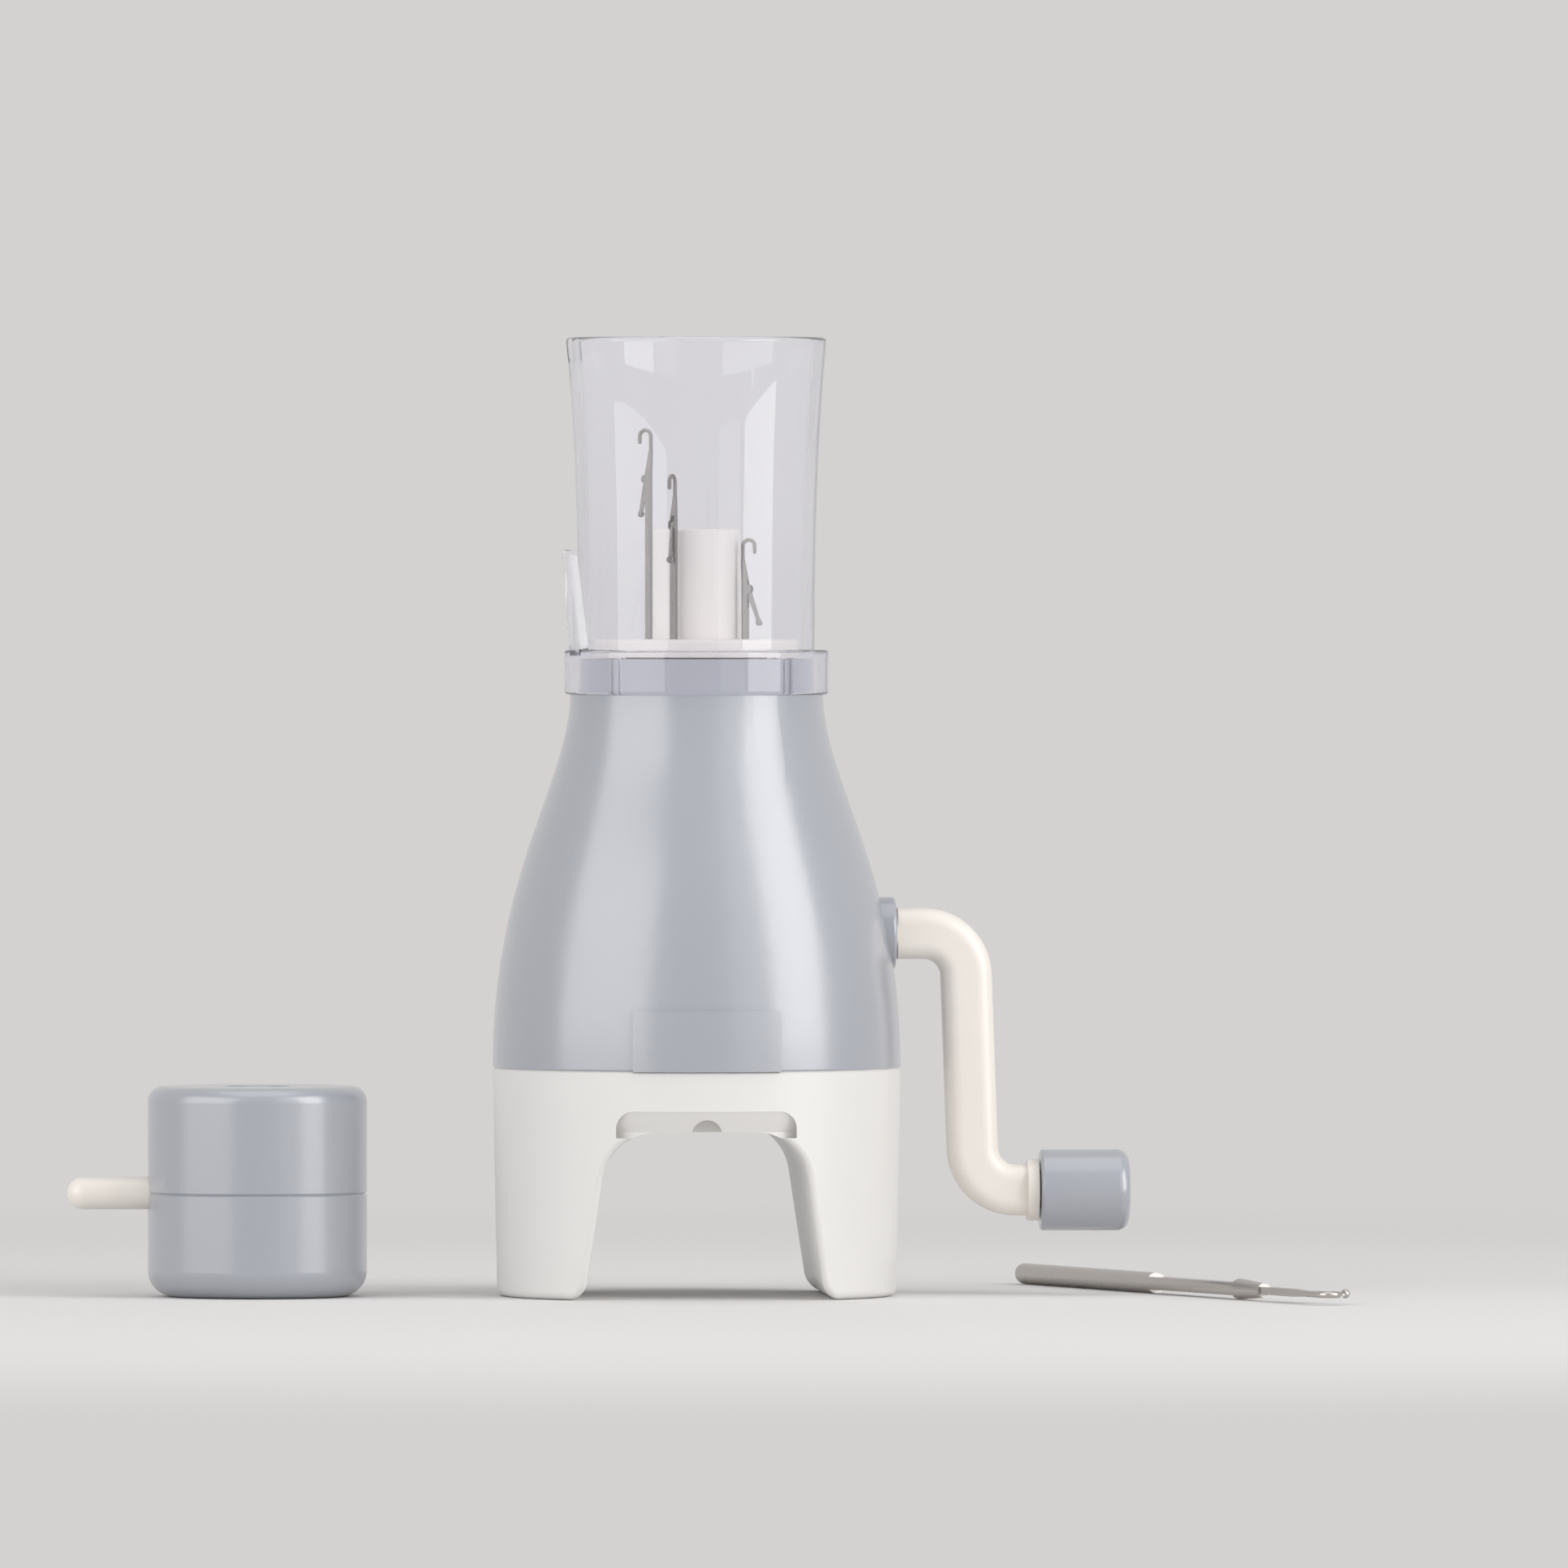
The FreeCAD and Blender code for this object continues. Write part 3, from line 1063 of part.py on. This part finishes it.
def weight_half(low, high, room_low, room_high, tube_low, tube_high):
    """One half shell, with its room inside and its length of the cord's tube."""
    shell = weight_body().common(drum(WEIGHT_RADIUS + SPILL, low, high))
    seam = [edge for edge in shell.Edges
            if abs(edge.BoundBox.ZMin - WEIGHT_SEAM) + abs(edge.BoundBox.ZMax - WEIGHT_SEAM) < NEAR]
    shell = shell.makeChamfer(EDGE_BREAK, seam)
    room = weight_body().common(drum(WEIGHT_RADIUS - WEIGHT_WALL, room_low, room_high))
    tube = drum(WEIGHT_BORE + WEIGHT_TUBE_WALL, tube_low, tube_high)
    shell = joined([shell.cut(room), tube])
    shell = shell.cut(drum(WEIGHT_BORE, -SPILL, WEIGHT_HEIGHT + SPILL))
    window = axle(BUTTON_RADIUS + SLIDING_FIT, -WEIGHT_RADIUS - SPILL, -SLIDER_INNER, z=SLIDER_Z)
    return shell.cut(window)


def make_weight_bottom():
    """Lower half shell of the weight."""
    tube_top = SLIDER_Z - SLIDER_HEIGHT / 2 - GAP
    shell = weight_half(0, WEIGHT_SEAM, WEIGHT_WALL, WEIGHT_SEAM + SPILL, WEIGHT_WALL / 2, tube_top)
    return at_weight(shell)


def make_weight_top():
    """Upper half shell of the weight, with a countersunk mouth."""
    tube_low = SLIDER_Z + SLIDER_HEIGHT / 2 + GAP
    roof = WEIGHT_HEIGHT - WEIGHT_WALL
    shell = weight_half(WEIGHT_SEAM, WEIGHT_HEIGHT, WEIGHT_SEAM - SPILL, roof, tube_low,
                        WEIGHT_HEIGHT - WEIGHT_WALL / 2)
    flare = WEIGHT_MOUTH - WEIGHT_BORE
    mouth = turned([(0, WEIGHT_HEIGHT - flare), (WEIGHT_BORE, WEIGHT_HEIGHT - flare),
                    (WEIGHT_MOUTH, WEIGHT_HEIGHT), (WEIGHT_MOUTH, WEIGHT_HEIGHT + SPILL),
                    (0, WEIGHT_HEIGHT + SPILL)])
    return at_weight(shell.cut(mouth))


def make_weight_slug():
    """Steel ring in the lower half, round the cord's tube."""
    outer = WEIGHT_RADIUS - WEIGHT_WALL - SLUG_CLEAR
    inner = WEIGHT_BORE + WEIGHT_TUBE_WALL + SLUG_CLEAR
    top = SLIDER_Z - SLIDER_HEIGHT / 2 - 2 * GAP
    slug = ring(outer, inner, WEIGHT_WALL + PUSH_FIT, top)
    foot = [edge for edge in slug.Edges
            if edge.BoundBox.ZMax < WEIGHT_WALL + SPILL and edge.BoundBox.XLength > 2 * inner + SPILL]
    return at_weight(slug.makeChamfer(WEIGHT_FOOT_ROUNDING - WEIGHT_WALL, foot))


def make_weight_button():
    """White button with its slider: the cord runs through the slider's window."""
    slider = block((-SLIDER_INNER, SLIDER_TAIL), (-SLIDER_WIDTH / 2, SLIDER_WIDTH / 2),
                   (SLIDER_Z - SLIDER_HEIGHT / 2, SLIDER_Z + SLIDER_HEIGHT / 2))
    tip = -WEIGHT_RADIUS - BUTTON_REACH
    rod = axle(BUTTON_RADIUS, tip + BUTTON_RADIUS, -SLIDER_INNER, z=SLIDER_Z)
    dome = Part.makeSphere(BUTTON_RADIUS, Vector(tip + BUTTON_RADIUS, 0, SLIDER_Z))
    window = drum(WEIGHT_BORE, SLIDER_Z - SLIDER_HEIGHT, SLIDER_Z + SLIDER_HEIGHT, -BUTTON_TRAVEL)
    return at_weight(joined([slider, rod, dome]).cut(window))


def make_weight_spring():
    """Coil spring that pushes the button out."""
    start = SLIDER_TAIL + SPRING_WIRE + PUSH_FIT
    end = math.sqrt((WEIGHT_RADIUS - WEIGHT_WALL) ** 2 - SPRING_RADIUS ** 2) - 2 * SPRING_WIRE
    height = end - start
    path = Part.makeHelix(height / SPRING_TURNS, height, SPRING_RADIUS)
    first = Vector(SPRING_RADIUS, 0, 0)
    section = Part.Wire(Part.makeCircle(SPRING_WIRE, first, ALONG_Y))
    coil = Part.Wire(path).makePipeShell([section], True, True)
    coil = Part.Solid(coil)
    coil.rotate(Vector(), ALONG_Y, 90)
    coil.translate(Vector(start, 0, SLIDER_Z))
    return at_weight(coil)


# ---- Latch tool ----

def laid_down(shape):
    """Lays an upright tool on the floor, its hook facing sideways."""
    shape.translate(Vector(0, 0, -TOOL_LENGTH / 2))
    shape.rotate(Vector(), ALONG_Y, 90)
    shape.rotate(Vector(), ALONG_X, 90)
    shape.rotate(Vector(), UP, TOOL_TURN)
    shape.translate(Vector(TOOL_X, TOOL_Y, TOOL_SHAFT_RADIUS))
    return shape


def make_tool_handle():
    """Steel shaft with two flats for the thumb and a tapered neck."""
    grip_low = TOOL_SHAFT_LENGTH
    grip_high = grip_low + TOOL_GRIP_LENGTH
    neck_high = grip_high + TOOL_NECK_LENGTH
    rod = drum(TOOL_SHAFT_RADIUS, 0, grip_high)
    butt = [edge for edge in rod.Edges if edge.BoundBox.ZMax < SAME]
    rod = rod.makeFillet(TOOL_SHAFT_RADIUS * 0.4, butt)
    neck = Part.makeCone(TOOL_SHAFT_RADIUS, TOOL_NECK_RADIUS, neck_high - grip_high,
                         Vector(0, 0, grip_high))
    handle = joined([rod, neck])
    for side in (-1, 1):
        low, high = sorted((side * TOOL_GRIP_THICK / 2, side * 2 * TOOL_SHAFT_RADIUS))
        flat = block((-TOOL_SHAFT_RADIUS * 2, TOOL_SHAFT_RADIUS * 2), (low, high),
                     (grip_low, grip_high))
        handle = handle.cut(flat)
    seat = tool_stem_block(PUSH_FIT, neck_high - TOOL_SEAT_DEPTH, neck_high + SPILL)
    return laid_down(handle.cut(seat))


def tool_stem_block(grow, low, high):
    """Flat stem of the tool's needle between two heights."""
    depth = TOOL_STEM_DEPTH / 2 + grow
    thick = TOOL_STEM_THICK / 2 + grow
    return block((-depth, depth), (-thick, thick), (low, high))


def make_tool_needle():
    """Hooked needle of the tool, pushed into the neck."""
    seat_low = TOOL_SHAFT_LENGTH + TOOL_GRIP_LENGTH + TOOL_NECK_LENGTH - TOOL_SEAT_DEPTH
    length = TOOL_LENGTH - seat_low - PUSH_FIT
    needle = latch_stem(TOOL_WIRE, TOOL_BEND, TOOL_SET, TOOL_TIP, TOOL_STEM_DEPTH,
                        TOOL_STEM_THICK, length, TOOL_LATCH_DROP, TOOL_LATCH_SET,
                        TOOL_LATCH_THICK)
    needle.translate(Vector(0, 0, TOOL_LENGTH))
    return laid_down(needle)


def make_tool_latch():
    """Latch of the tool, nearly shut against the hook's tip."""
    pivot = Vector(TOOL_LATCH_SET, 0, TOOL_LENGTH - TOOL_LATCH_DROP)
    latch = latch_blade(TOOL_STEM_THICK, TOOL_LATCH_LENGTH, TOOL_LATCH_THICK,
                        TOOL_LATCH_ANGLE, pivot)
    return laid_down(latch)


# ---- All pieces, one STEP file each ----

def make_pieces():
    """Every piece by its name."""
    pieces = {
        "base": make_base(),
        "base_screws": make_base_screws(),
        "housing": make_housing(),
        "raising_cam": make_raising_cam(),
        "lowering_cam": make_lowering_cam(),
        "cam_sleeve": make_cam_sleeve(),
        "cam_screws": make_cam_screws(),
        "rotor": make_rotor(),
        "core_tube": make_core_tube(),
        "rotor_gear": make_rotor_gear(),
        "gear_screws": make_gear_screws(),
        "shield": make_shield(),
        "crank_arm": make_crank_arm(),
        "pinion": make_pinion(),
        "pinion_washer": make_pinion_washer(),
        "pinion_screw": make_pinion_screw(),
        "knob": make_knob(),
        "weight_bottom": make_weight_bottom(),
        "weight_top": make_weight_top(),
        "weight_slug": make_weight_slug(),
        "weight_button": make_weight_button(),
        "weight_spring": make_weight_spring(),
        "tool_handle": make_tool_handle(),
        "tool_needle": make_tool_needle(),
        "tool_latch": make_tool_latch(),
    }
    for index, (angle, open_angle) in enumerate(zip(needle_angles(), LATCH_ANGLES), start=1):
        pieces[f"needle_{index}"] = make_needle(angle)
        pieces[f"latch_{index}"] = make_latch(angle, open_angle)
    return pieces


def main():
    """Writes each piece to its own STEP file."""
    os.makedirs("parts", exist_ok=True)
    for name, shape in make_pieces().items():
        shape.exportStep(os.path.join("parts", name + ".step"))
        print(f"{name}: {len(shape.Solids)} solid, {shape.Volume:.1f} mm3")


main()
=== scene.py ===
"""I-cord maker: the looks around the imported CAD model. Lengths are in metres."""
import math

import bpy
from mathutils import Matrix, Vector

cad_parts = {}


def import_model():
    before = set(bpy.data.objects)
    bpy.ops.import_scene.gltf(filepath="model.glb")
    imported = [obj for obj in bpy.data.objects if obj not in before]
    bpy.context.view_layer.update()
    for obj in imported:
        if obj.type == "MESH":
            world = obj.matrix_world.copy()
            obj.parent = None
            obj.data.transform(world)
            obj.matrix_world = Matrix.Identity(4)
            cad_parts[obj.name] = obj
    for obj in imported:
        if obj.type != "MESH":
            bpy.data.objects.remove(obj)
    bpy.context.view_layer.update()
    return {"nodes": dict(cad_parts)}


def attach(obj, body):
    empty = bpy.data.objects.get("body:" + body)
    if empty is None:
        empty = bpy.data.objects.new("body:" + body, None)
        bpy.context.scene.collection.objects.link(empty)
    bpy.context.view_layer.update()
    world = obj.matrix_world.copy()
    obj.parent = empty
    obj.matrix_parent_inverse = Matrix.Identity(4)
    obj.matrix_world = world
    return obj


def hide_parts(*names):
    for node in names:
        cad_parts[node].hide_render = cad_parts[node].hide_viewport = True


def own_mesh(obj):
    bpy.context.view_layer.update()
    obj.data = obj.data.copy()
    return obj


# ---- Camera: the photograph's viewing angle and the width that it takes in ----
AZIMUTH = math.radians(-3.3)
ELEVATION = math.radians(0.6)
CAMERA_DISTANCE = 4.0
VIEW_WIDTH = 0.2705
VIEW_CENTRE = Vector((0.0151, 0.0, 0.0882))
SENSOR_MM = 36.0
CLIP_START = 0.05
CLIP_END = 50.0

# ---- Lamps: name, place, width and height, watts ----
LAMP_TARGET = (0, 0, 0.08)
LAMPS = (
    ("key", (1.08, -0.66, 0.45), (0.8, 1.3), 12),
    ("key_edge", (0.6, -1.12, 0.45), (0.5, 1.3), 1.5),     # the key's dimmer inner edge
    ("fill", (-1.17, -0.72, 0.4), (1.5, 1.3), 12.5),
    ("top", (0.0, -0.2, 1.3), (1.2, 1.2), 4),
)
WORLD_LIGHT = 0.45

# ---- Floor ----
FLOOR_HALF = 8.0
FLOOR_DROP = 0.00005      # the floor lies this far under the feet
LIT_RADIUS = 0.2          # the floor is lit as it is out to here
EVEN_RADIUS = 0.6         # and has one even tone from here

# ---- Colours, linear ----
BLUE_GREY = (0.343, 0.357, 0.398, 1)
BLUE_GREY_DARK = (0.331, 0.344, 0.385, 1)
OFF_WHITE = (0.730, 0.718, 0.702, 1)
OFF_WHITE_DARK = (0.712, 0.699, 0.682, 1)
WARM_WHITE = (0.810, 0.765, 0.710, 1)
WARM_WHITE_DARK = (0.790, 0.742, 0.686, 1)
ROTOR_WHITE = (0.735, 0.702, 0.662, 1)
ROTOR_WHITE_DARK = (0.715, 0.680, 0.640, 1)
CAM_WHITE = (0.700, 0.700, 0.680, 1)
CAM_WHITE_DARK = (0.660, 0.660, 0.640, 1)
CLEAR = (0.985, 0.985, 0.995, 1)
CLEAR_DARK = (0.980075, 0.97515, 0.995, 1)
CLEAR_DEPTH = (0.720, 0.715, 0.930, 1)
CLEAR_TO_LAMPS = (0.960, 0.960, 0.970, 1)
NEEDLE_STEEL = (0.290, 0.268, 0.255, 1)
NEEDLE_STEEL_DARK = (0.245, 0.225, 0.213, 1)
BRIGHT_STEEL = (0.560, 0.530, 0.505, 1)
BRIGHT_STEEL_DARK = (0.500, 0.470, 0.447, 1)
ZINC = (0.480, 0.480, 0.490, 1)
ZINC_DARK = (0.380, 0.380, 0.390, 1)
RAW_STEEL = (0.260, 0.255, 0.250, 1)
RAW_STEEL_DARK = (0.200, 0.195, 0.190, 1)
BACKDROP = (0.760, 0.747, 0.738, 1)
BACKDROP_DARK = (0.7486, 0.735795, 0.72693, 1)
BACKDROP_SEEN = (0.655, 0.645, 0.637, 1)
WHITE = (1, 1, 1, 1)

# ---- Patterns: scales are per metre, drifts are shares of the roughness ----
NOISE_LOW = 0.2           # a noise's values lie between these two
NOISE_HIGH = 0.8
EVEN = (1, 1, 1)          # a pattern that isn't drawn out
FLOW_SCALE = 28           # flow marks in the plastics' colour
FLOW_STRETCH = (1, 1, 2.2)
SKIN_SCALE = 90           # their skin's changing gloss
SKIN_DRIFT = 0.06
WAVE_SCALE = 40           # their skin's slow waves
WAVE_DEPTH = 4e-6
HAZE_SCALE = 60           # haze in the clear plastic
RUB_SCALE = 200           # rub marks on it
RUB_STRETCH = (1, 1, 5)
TONE_SCALE = 120          # tone of the steels
LINE_SCALE = 1500         # drawn lines on them
LINE_DRIFT = 0.2
PAPER_SCALE = 3           # tone of the floor

# ---- Surfaces ----
PLASTIC_IOR = 1.58
COAT_IOR = 1.6
COAT_ROUGHNESS = 0.22
CLEAR_IOR = 1.47
CLEAR_SHARE = 0.96        # share of the light that the clear plastic lets through
CLEAR_DENSITY = 30.0      # density of its tint, per metre
CLEAR_GLOSS = (0.01, 0.03)
PAPER_ROUGHNESS = 0.9
PAPER_GLOSS = 0.1
TOOL_TURN = math.radians(-70)   # the way in which the tool lies

# ---- Plastics: name, CAD nodes, colour, darker tone, roughness, coat ----
PLASTICS = (
    ("housing_plastic", ("housing", "knob", "weight_top", "weight_bottom"),
     BLUE_GREY, BLUE_GREY_DARK, 0.3, 1.0),
    ("base_plastic", ("base",), OFF_WHITE, OFF_WHITE_DARK, 0.38, 0.15),
    ("crank_plastic", ("crank_arm", "weight_button"), WARM_WHITE, WARM_WHITE_DARK, 0.38, 0.15),
    ("rotor_plastic", ("rotor", "core_tube"), ROTOR_WHITE, ROTOR_WHITE_DARK, 0.42, 0.1),
    ("cam_plastic", ("rotor_gear", "pinion", "raising_cam", "lowering_cam", "cam_sleeve"),
     CAM_WHITE, CAM_WHITE_DARK, 0.5, 0.0),
)
CLEAR_NODES = ("shield",)

# ---- Metals: name, CAD nodes, colour, darker tone, roughness, stretch, turn about Z ----
NEEDLE_NODES = tuple(f"{piece}_{n}" for piece in ("needle", "latch") for n in range(1, 5))
METALS = (
    ("needle_steel", NEEDLE_NODES, NEEDLE_STEEL, NEEDLE_STEEL_DARK, 0.3, (1, 1, 20), 0.0),
    ("tool_steel", ("tool_handle", "tool_needle", "tool_latch"),
     BRIGHT_STEEL, BRIGHT_STEEL_DARK, 0.24, (20, 1, 1), TOOL_TURN),
    ("zinc_steel", ("base_screws", "cam_screws", "gear_screws", "pinion_screw",
                    "pinion_washer", "weight_spring"), ZINC, ZINC_DARK, 0.34, EVEN, 0.0),
    ("slug_steel", ("weight_slug",), RAW_STEEL, RAW_STEEL_DARK, 0.42, (1, 1, 8), 0.0),
)

SPRING_NODE = "weight_spring"


# ---- Object helpers ----

def new_object(name, data):
    """New object, linked to the scene."""
    item = bpy.data.objects.new(name, data)
    bpy.context.scene.collection.objects.link(item)
    return item


def aim(item, direction):
    """Turns a lamp or a camera to face in a direction."""
    item.rotation_mode = "QUATERNION"
    item.rotation_quaternion = direction.to_track_quat("-Z", "Y")


# ---- Node helpers ----

def new_material(name):
    """New material, its node tree and its Principled shader."""
    material = bpy.data.materials.new(name)
    material.use_nodes = True
    tree = material.node_tree
    shader = next(node for node in tree.nodes if node.type == "BSDF_PRINCIPLED")
    return material, tree, shader


def add(tree, kind, **inputs):
    """New node with some of its inputs set."""
    node = tree.nodes.new(kind)
    for name, value in inputs.items():
        node.inputs[name.replace("_", " ")].default_value = value
    return node


def noise(tree, scale, detail=2.0, stretch=EVEN, turn=0.0):
    """Noise in object space, drawn out along axes turned about Z."""
    place = tree.nodes.new("ShaderNodeTexCoord")
    mapping = add(tree, "ShaderNodeMapping", Scale=stretch, Rotation=(0, 0, turn))
    mapping.vector_type = "TEXTURE"
    pattern = add(tree, "ShaderNodeTexNoise", Scale=scale, Detail=detail)
    tree.links.new(place.outputs["Object"], mapping.inputs["Vector"])
    tree.links.new(mapping.outputs["Vector"], pattern.inputs["Vector"])
    return pattern.outputs["Fac"]


def spread(tree, fac, low=0, high=1):
    """Maps a noise onto a range, without kinks at its ends."""
    node = add(tree, "ShaderNodeMapRange", From_Min=NOISE_LOW, From_Max=NOISE_HIGH,
               To_Min=low, To_Max=high)
    node.interpolation_type = "SMOOTHERSTEP"
    tree.links.new(fac, node.inputs["Value"])
    return node.outputs["Result"]


def two_tone(tree, fac, first, second):
    """Colour that drifts between two tones."""
    mix = tree.nodes.new("ShaderNodeMix")
    mix.data_type = "RGBA"
    mix.inputs["A"].default_value = first
    mix.inputs["B"].default_value = second
    tree.links.new(fac, mix.inputs["Factor"])
    return mix.outputs["Result"]


def drifting(tree, shader, fac, roughness, drift):
    """Roughness that drifts by a share of itself to either side."""
    low, high = roughness * (1 - drift), roughness * (1 + drift)
    tree.links.new(spread(tree, fac, low, high), shader.inputs["Roughness"])


def bumped(tree, shader, fac, depth):
    """Shallow relief of the given depth."""
    bump = add(tree, "ShaderNodeBump", Strength=1.0, Distance=depth)
    tree.links.new(fac, bump.inputs["Height"])
    tree.links.new(bump.outputs["Normal"], shader.inputs["Normal"])


def combined(tree, operation, first, second):
    """Result of a Math node on two sockets."""
    node = tree.nodes.new("ShaderNodeMath")
    node.operation = operation
    tree.links.new(first, node.inputs[0])
    tree.links.new(second, node.inputs[1])
    return node.outputs[0]


def mixed_shaders(tree, fac, first, second):
    """Shader that goes from the first to the second with the factor."""
    mix = tree.nodes.new("ShaderNodeMixShader")
    tree.links.new(fac, mix.inputs["Fac"])
    tree.links.new(first, mix.inputs[1])
    tree.links.new(second, mix.inputs[2])
    return mix.outputs["Shader"]


def surface_of(tree, surface):
    """Puts a shader on the tree's output, and gives the output node."""
    out = next(node for node in tree.nodes if node.type.startswith("OUTPUT"))
    tree.links.new(surface, out.inputs["Surface"])
    return out


def shows_backdrop(tree):
    """1 for rays in which the backdrop is seen: straight, in gloss or through glass."""
    path = tree.nodes.new("ShaderNodeLightPath")
    seen = combined(tree, "MAXIMUM", path.outputs["Is Camera Ray"], path.outputs["Is Glossy Ray"])
    return combined(tree, "MAXIMUM", seen, path.outputs["Is Transmission Ray"])


# ---- Materials ----

def moulded_plastic(name, colour, shade, roughness, coat):
    """Injection-moulded plastic: faint flow marks, a soft skin and a clear gloss."""
    material, tree, shader = new_material(name)
    flow = spread(tree, noise(tree, FLOW_SCALE, stretch=FLOW_STRETCH))
    tree.links.new(two_tone(tree, flow, colour, shade), shader.inputs["Base Color"])
    drifting(tree, shader, noise(tree, SKIN_SCALE), roughness, SKIN_DRIFT)
    bumped(tree, shader, noise(tree, WAVE_SCALE, detail=0.0), WAVE_DEPTH)
    shader.inputs["IOR"].default_value = PLASTIC_IOR
    shader.inputs["Coat Weight"].default_value = coat
    shader.inputs["Coat Roughness"].default_value = COAT_ROUGHNESS
    shader.inputs["Coat IOR"].default_value = COAT_IOR
    return material


def clear_plastic():
    """Clear polystyrene with rub marks, lavender where it is looked through lengthwise.

    Lamps reach what is inside through a plain tint, because glass would shade it.
    """
    material, tree, shader = new_material("clear_plastic")
    haze = spread(tree, noise(tree, HAZE_SCALE, detail=3.0))
    tree.links.new(two_tone(tree, haze, CLEAR, CLEAR_DARK), shader.inputs["Base Color"])
    rub = noise(tree, RUB_SCALE, stretch=RUB_STRETCH)
    tree.links.new(spread(tree, rub, *CLEAR_GLOSS), shader.inputs["Roughness"])
    shader.inputs["IOR"].default_value = CLEAR_IOR
    shader.inputs["Transmission Weight"].default_value = CLEAR_SHARE
    depth = add(tree, "ShaderNodeVolumeAbsorption", Color=CLEAR_DEPTH, Density=CLEAR_DENSITY)
    to_lamps = add(tree, "ShaderNodeBsdfTransparent", Color=CLEAR_TO_LAMPS)
    path = tree.nodes.new("ShaderNodeLightPath")
    out = surface_of(tree, mixed_shaders(tree, path.outputs["Is Shadow Ray"],
                                         shader.outputs["BSDF"], to_lamps.outputs["BSDF"]))
    tree.links.new(depth.outputs["Volume"], out.inputs["Volume"])
    return material


def metal(name, colour, shade, roughness, stretch, turn):
    """Drawn or turned steel with fine lines along its length."""
    material, tree, shader = new_material(name)
    tone = spread(tree, noise(tree, TONE_SCALE, stretch=stretch, turn=turn))
    tree.links.new(two_tone(tree, tone, colour, shade), shader.inputs["Base Color"])
    lines = noise(tree, LINE_SCALE, stretch=stretch, turn=turn)
    drifting(tree, shader, lines, roughness, LINE_DRIFT)
    shader.inputs["Metallic"].default_value = 1.0
    return material


def paper():
    """Pale paper: lit round the object, and of one even tone farther away."""
    material, tree, shader = new_material("floor_paper")
    tone = spread(tree, noise(tree, PAPER_SCALE))
    tree.links.new(two_tone(tree, tone, BACKDROP, BACKDROP_DARK), shader.inputs["Base Color"])
    shader.inputs["Roughness"].default_value = PAPER_ROUGHNESS
    shader.inputs["Specular IOR Level"].default_value = PAPER_GLOSS
    place = tree.nodes.new("ShaderNodeTexCoord")
    distance = tree.nodes.new("ShaderNodeVectorMath")
    distance.operation = "LENGTH"
    tree.links.new(place.outputs["Object"], distance.inputs[0])
    far = add(tree, "ShaderNodeMapRange", From_Min=LIT_RADIUS, From_Max=EVEN_RADIUS)
    far.interpolation_type = "SMOOTHSTEP"
    tree.links.new(distance.outputs["Value"], far.inputs["Value"])
    share = combined(tree, "MULTIPLY", far.outputs["Result"], shows_backdrop(tree))
    glow = add(tree, "ShaderNodeEmission", Color=BACKDROP_SEEN, Strength=1.0)
    surface_of(tree, mixed_shaders(tree, share, shader.outputs["BSDF"],
                                   glow.outputs["Emission"]))
    return material


def dress(nodes, names, material):
    """Gives CAD nodes a material."""
    for name in names:
        materials = nodes[name].data.materials
        materials.clear()
        materials.append(material)


def dress_all(nodes):
    """Gives every CAD node its material."""
    for name, names, *look in PLASTICS:
        dress(nodes, names, moulded_plastic(name, *look))
    dress(nodes, CLEAR_NODES, clear_plastic())
    for name, names, *look in METALS:
        dress(nodes, names, metal(name, *look))


# ---- Spring ----

def make_spring(frame):
    """Coil spring in the weight: a copy of the CAD spring, with a mesh of its own, that rides
    with the weight.
    """
    spring = new_object("coil_spring", frame["nodes"][SPRING_NODE].data.copy())
    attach(spring, "weight")
    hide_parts(SPRING_NODE)
    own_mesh(spring)


# ---- Stage: floor, lights, world and camera ----

def make_floor():
    """Wide flat floor that meets surroundings of its own tone."""
    points = [(x, y, -FLOOR_DROP) for y in (-FLOOR_HALF, FLOOR_HALF)
              for x in (-FLOOR_HALF, FLOOR_HALF)]
    mesh = bpy.data.meshes.new("floor")
    mesh.from_pydata(points, [], [(0, 1, 3, 2)])
    mesh.materials.append(paper())
    floor = new_object("floor", mesh)


def make_lamp(name, place, size, watts):
    """Soft rectangular lamp that points at the object and isn't seen through the shield."""
    lamp = bpy.data.lights.new(name, "AREA")
    lamp.shape = "RECTANGLE"
    lamp.size, lamp.size_y = size
    lamp.energy = watts
    light = new_object(name, lamp)
    light.location = place
    light.visible_transmission = False
    aim(light, Vector(LAMP_TARGET) - Vector(place))


def make_world():
    """Even surroundings: they light at one level and show the backdrop's tone."""
    world = bpy.data.worlds.new("surroundings")
    world.use_nodes = True
    tree = world.node_tree
    light = add(tree, "ShaderNodeBackground", Color=WHITE, Strength=WORLD_LIGHT)
    view = add(tree, "ShaderNodeBackground", Color=BACKDROP_SEEN, Strength=1.0)
    surface_of(tree, mixed_shaders(tree, shows_backdrop(tree), light.outputs["Background"],
                                   view.outputs["Background"]))
    bpy.context.scene.world = world


def make_camera():
    """Long lens at the photograph's viewing angle."""
    back = Vector((math.sin(AZIMUTH) * math.cos(ELEVATION),
                   -math.cos(AZIMUTH) * math.cos(ELEVATION), math.sin(ELEVATION)))
    data = bpy.data.cameras.new("camera")
    data.sensor_width = SENSOR_MM
    data.lens = SENSOR_MM * CAMERA_DISTANCE / VIEW_WIDTH
    data.clip_start = CLIP_START
    data.clip_end = CLIP_END
    camera = new_object("camera", data)
    camera.location = VIEW_CENTRE + back * CAMERA_DISTANCE
    aim(camera, -back)
    bpy.context.scene.camera = camera


def main():
    """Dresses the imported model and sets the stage."""
    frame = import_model()
    dress_all(frame["nodes"])
    make_spring(frame)
    make_floor()
    for lamp in LAMPS:
        make_lamp(*lamp)
    make_world()
    make_camera()
    bpy.context.scene.view_settings.view_transform = "Standard"


main()
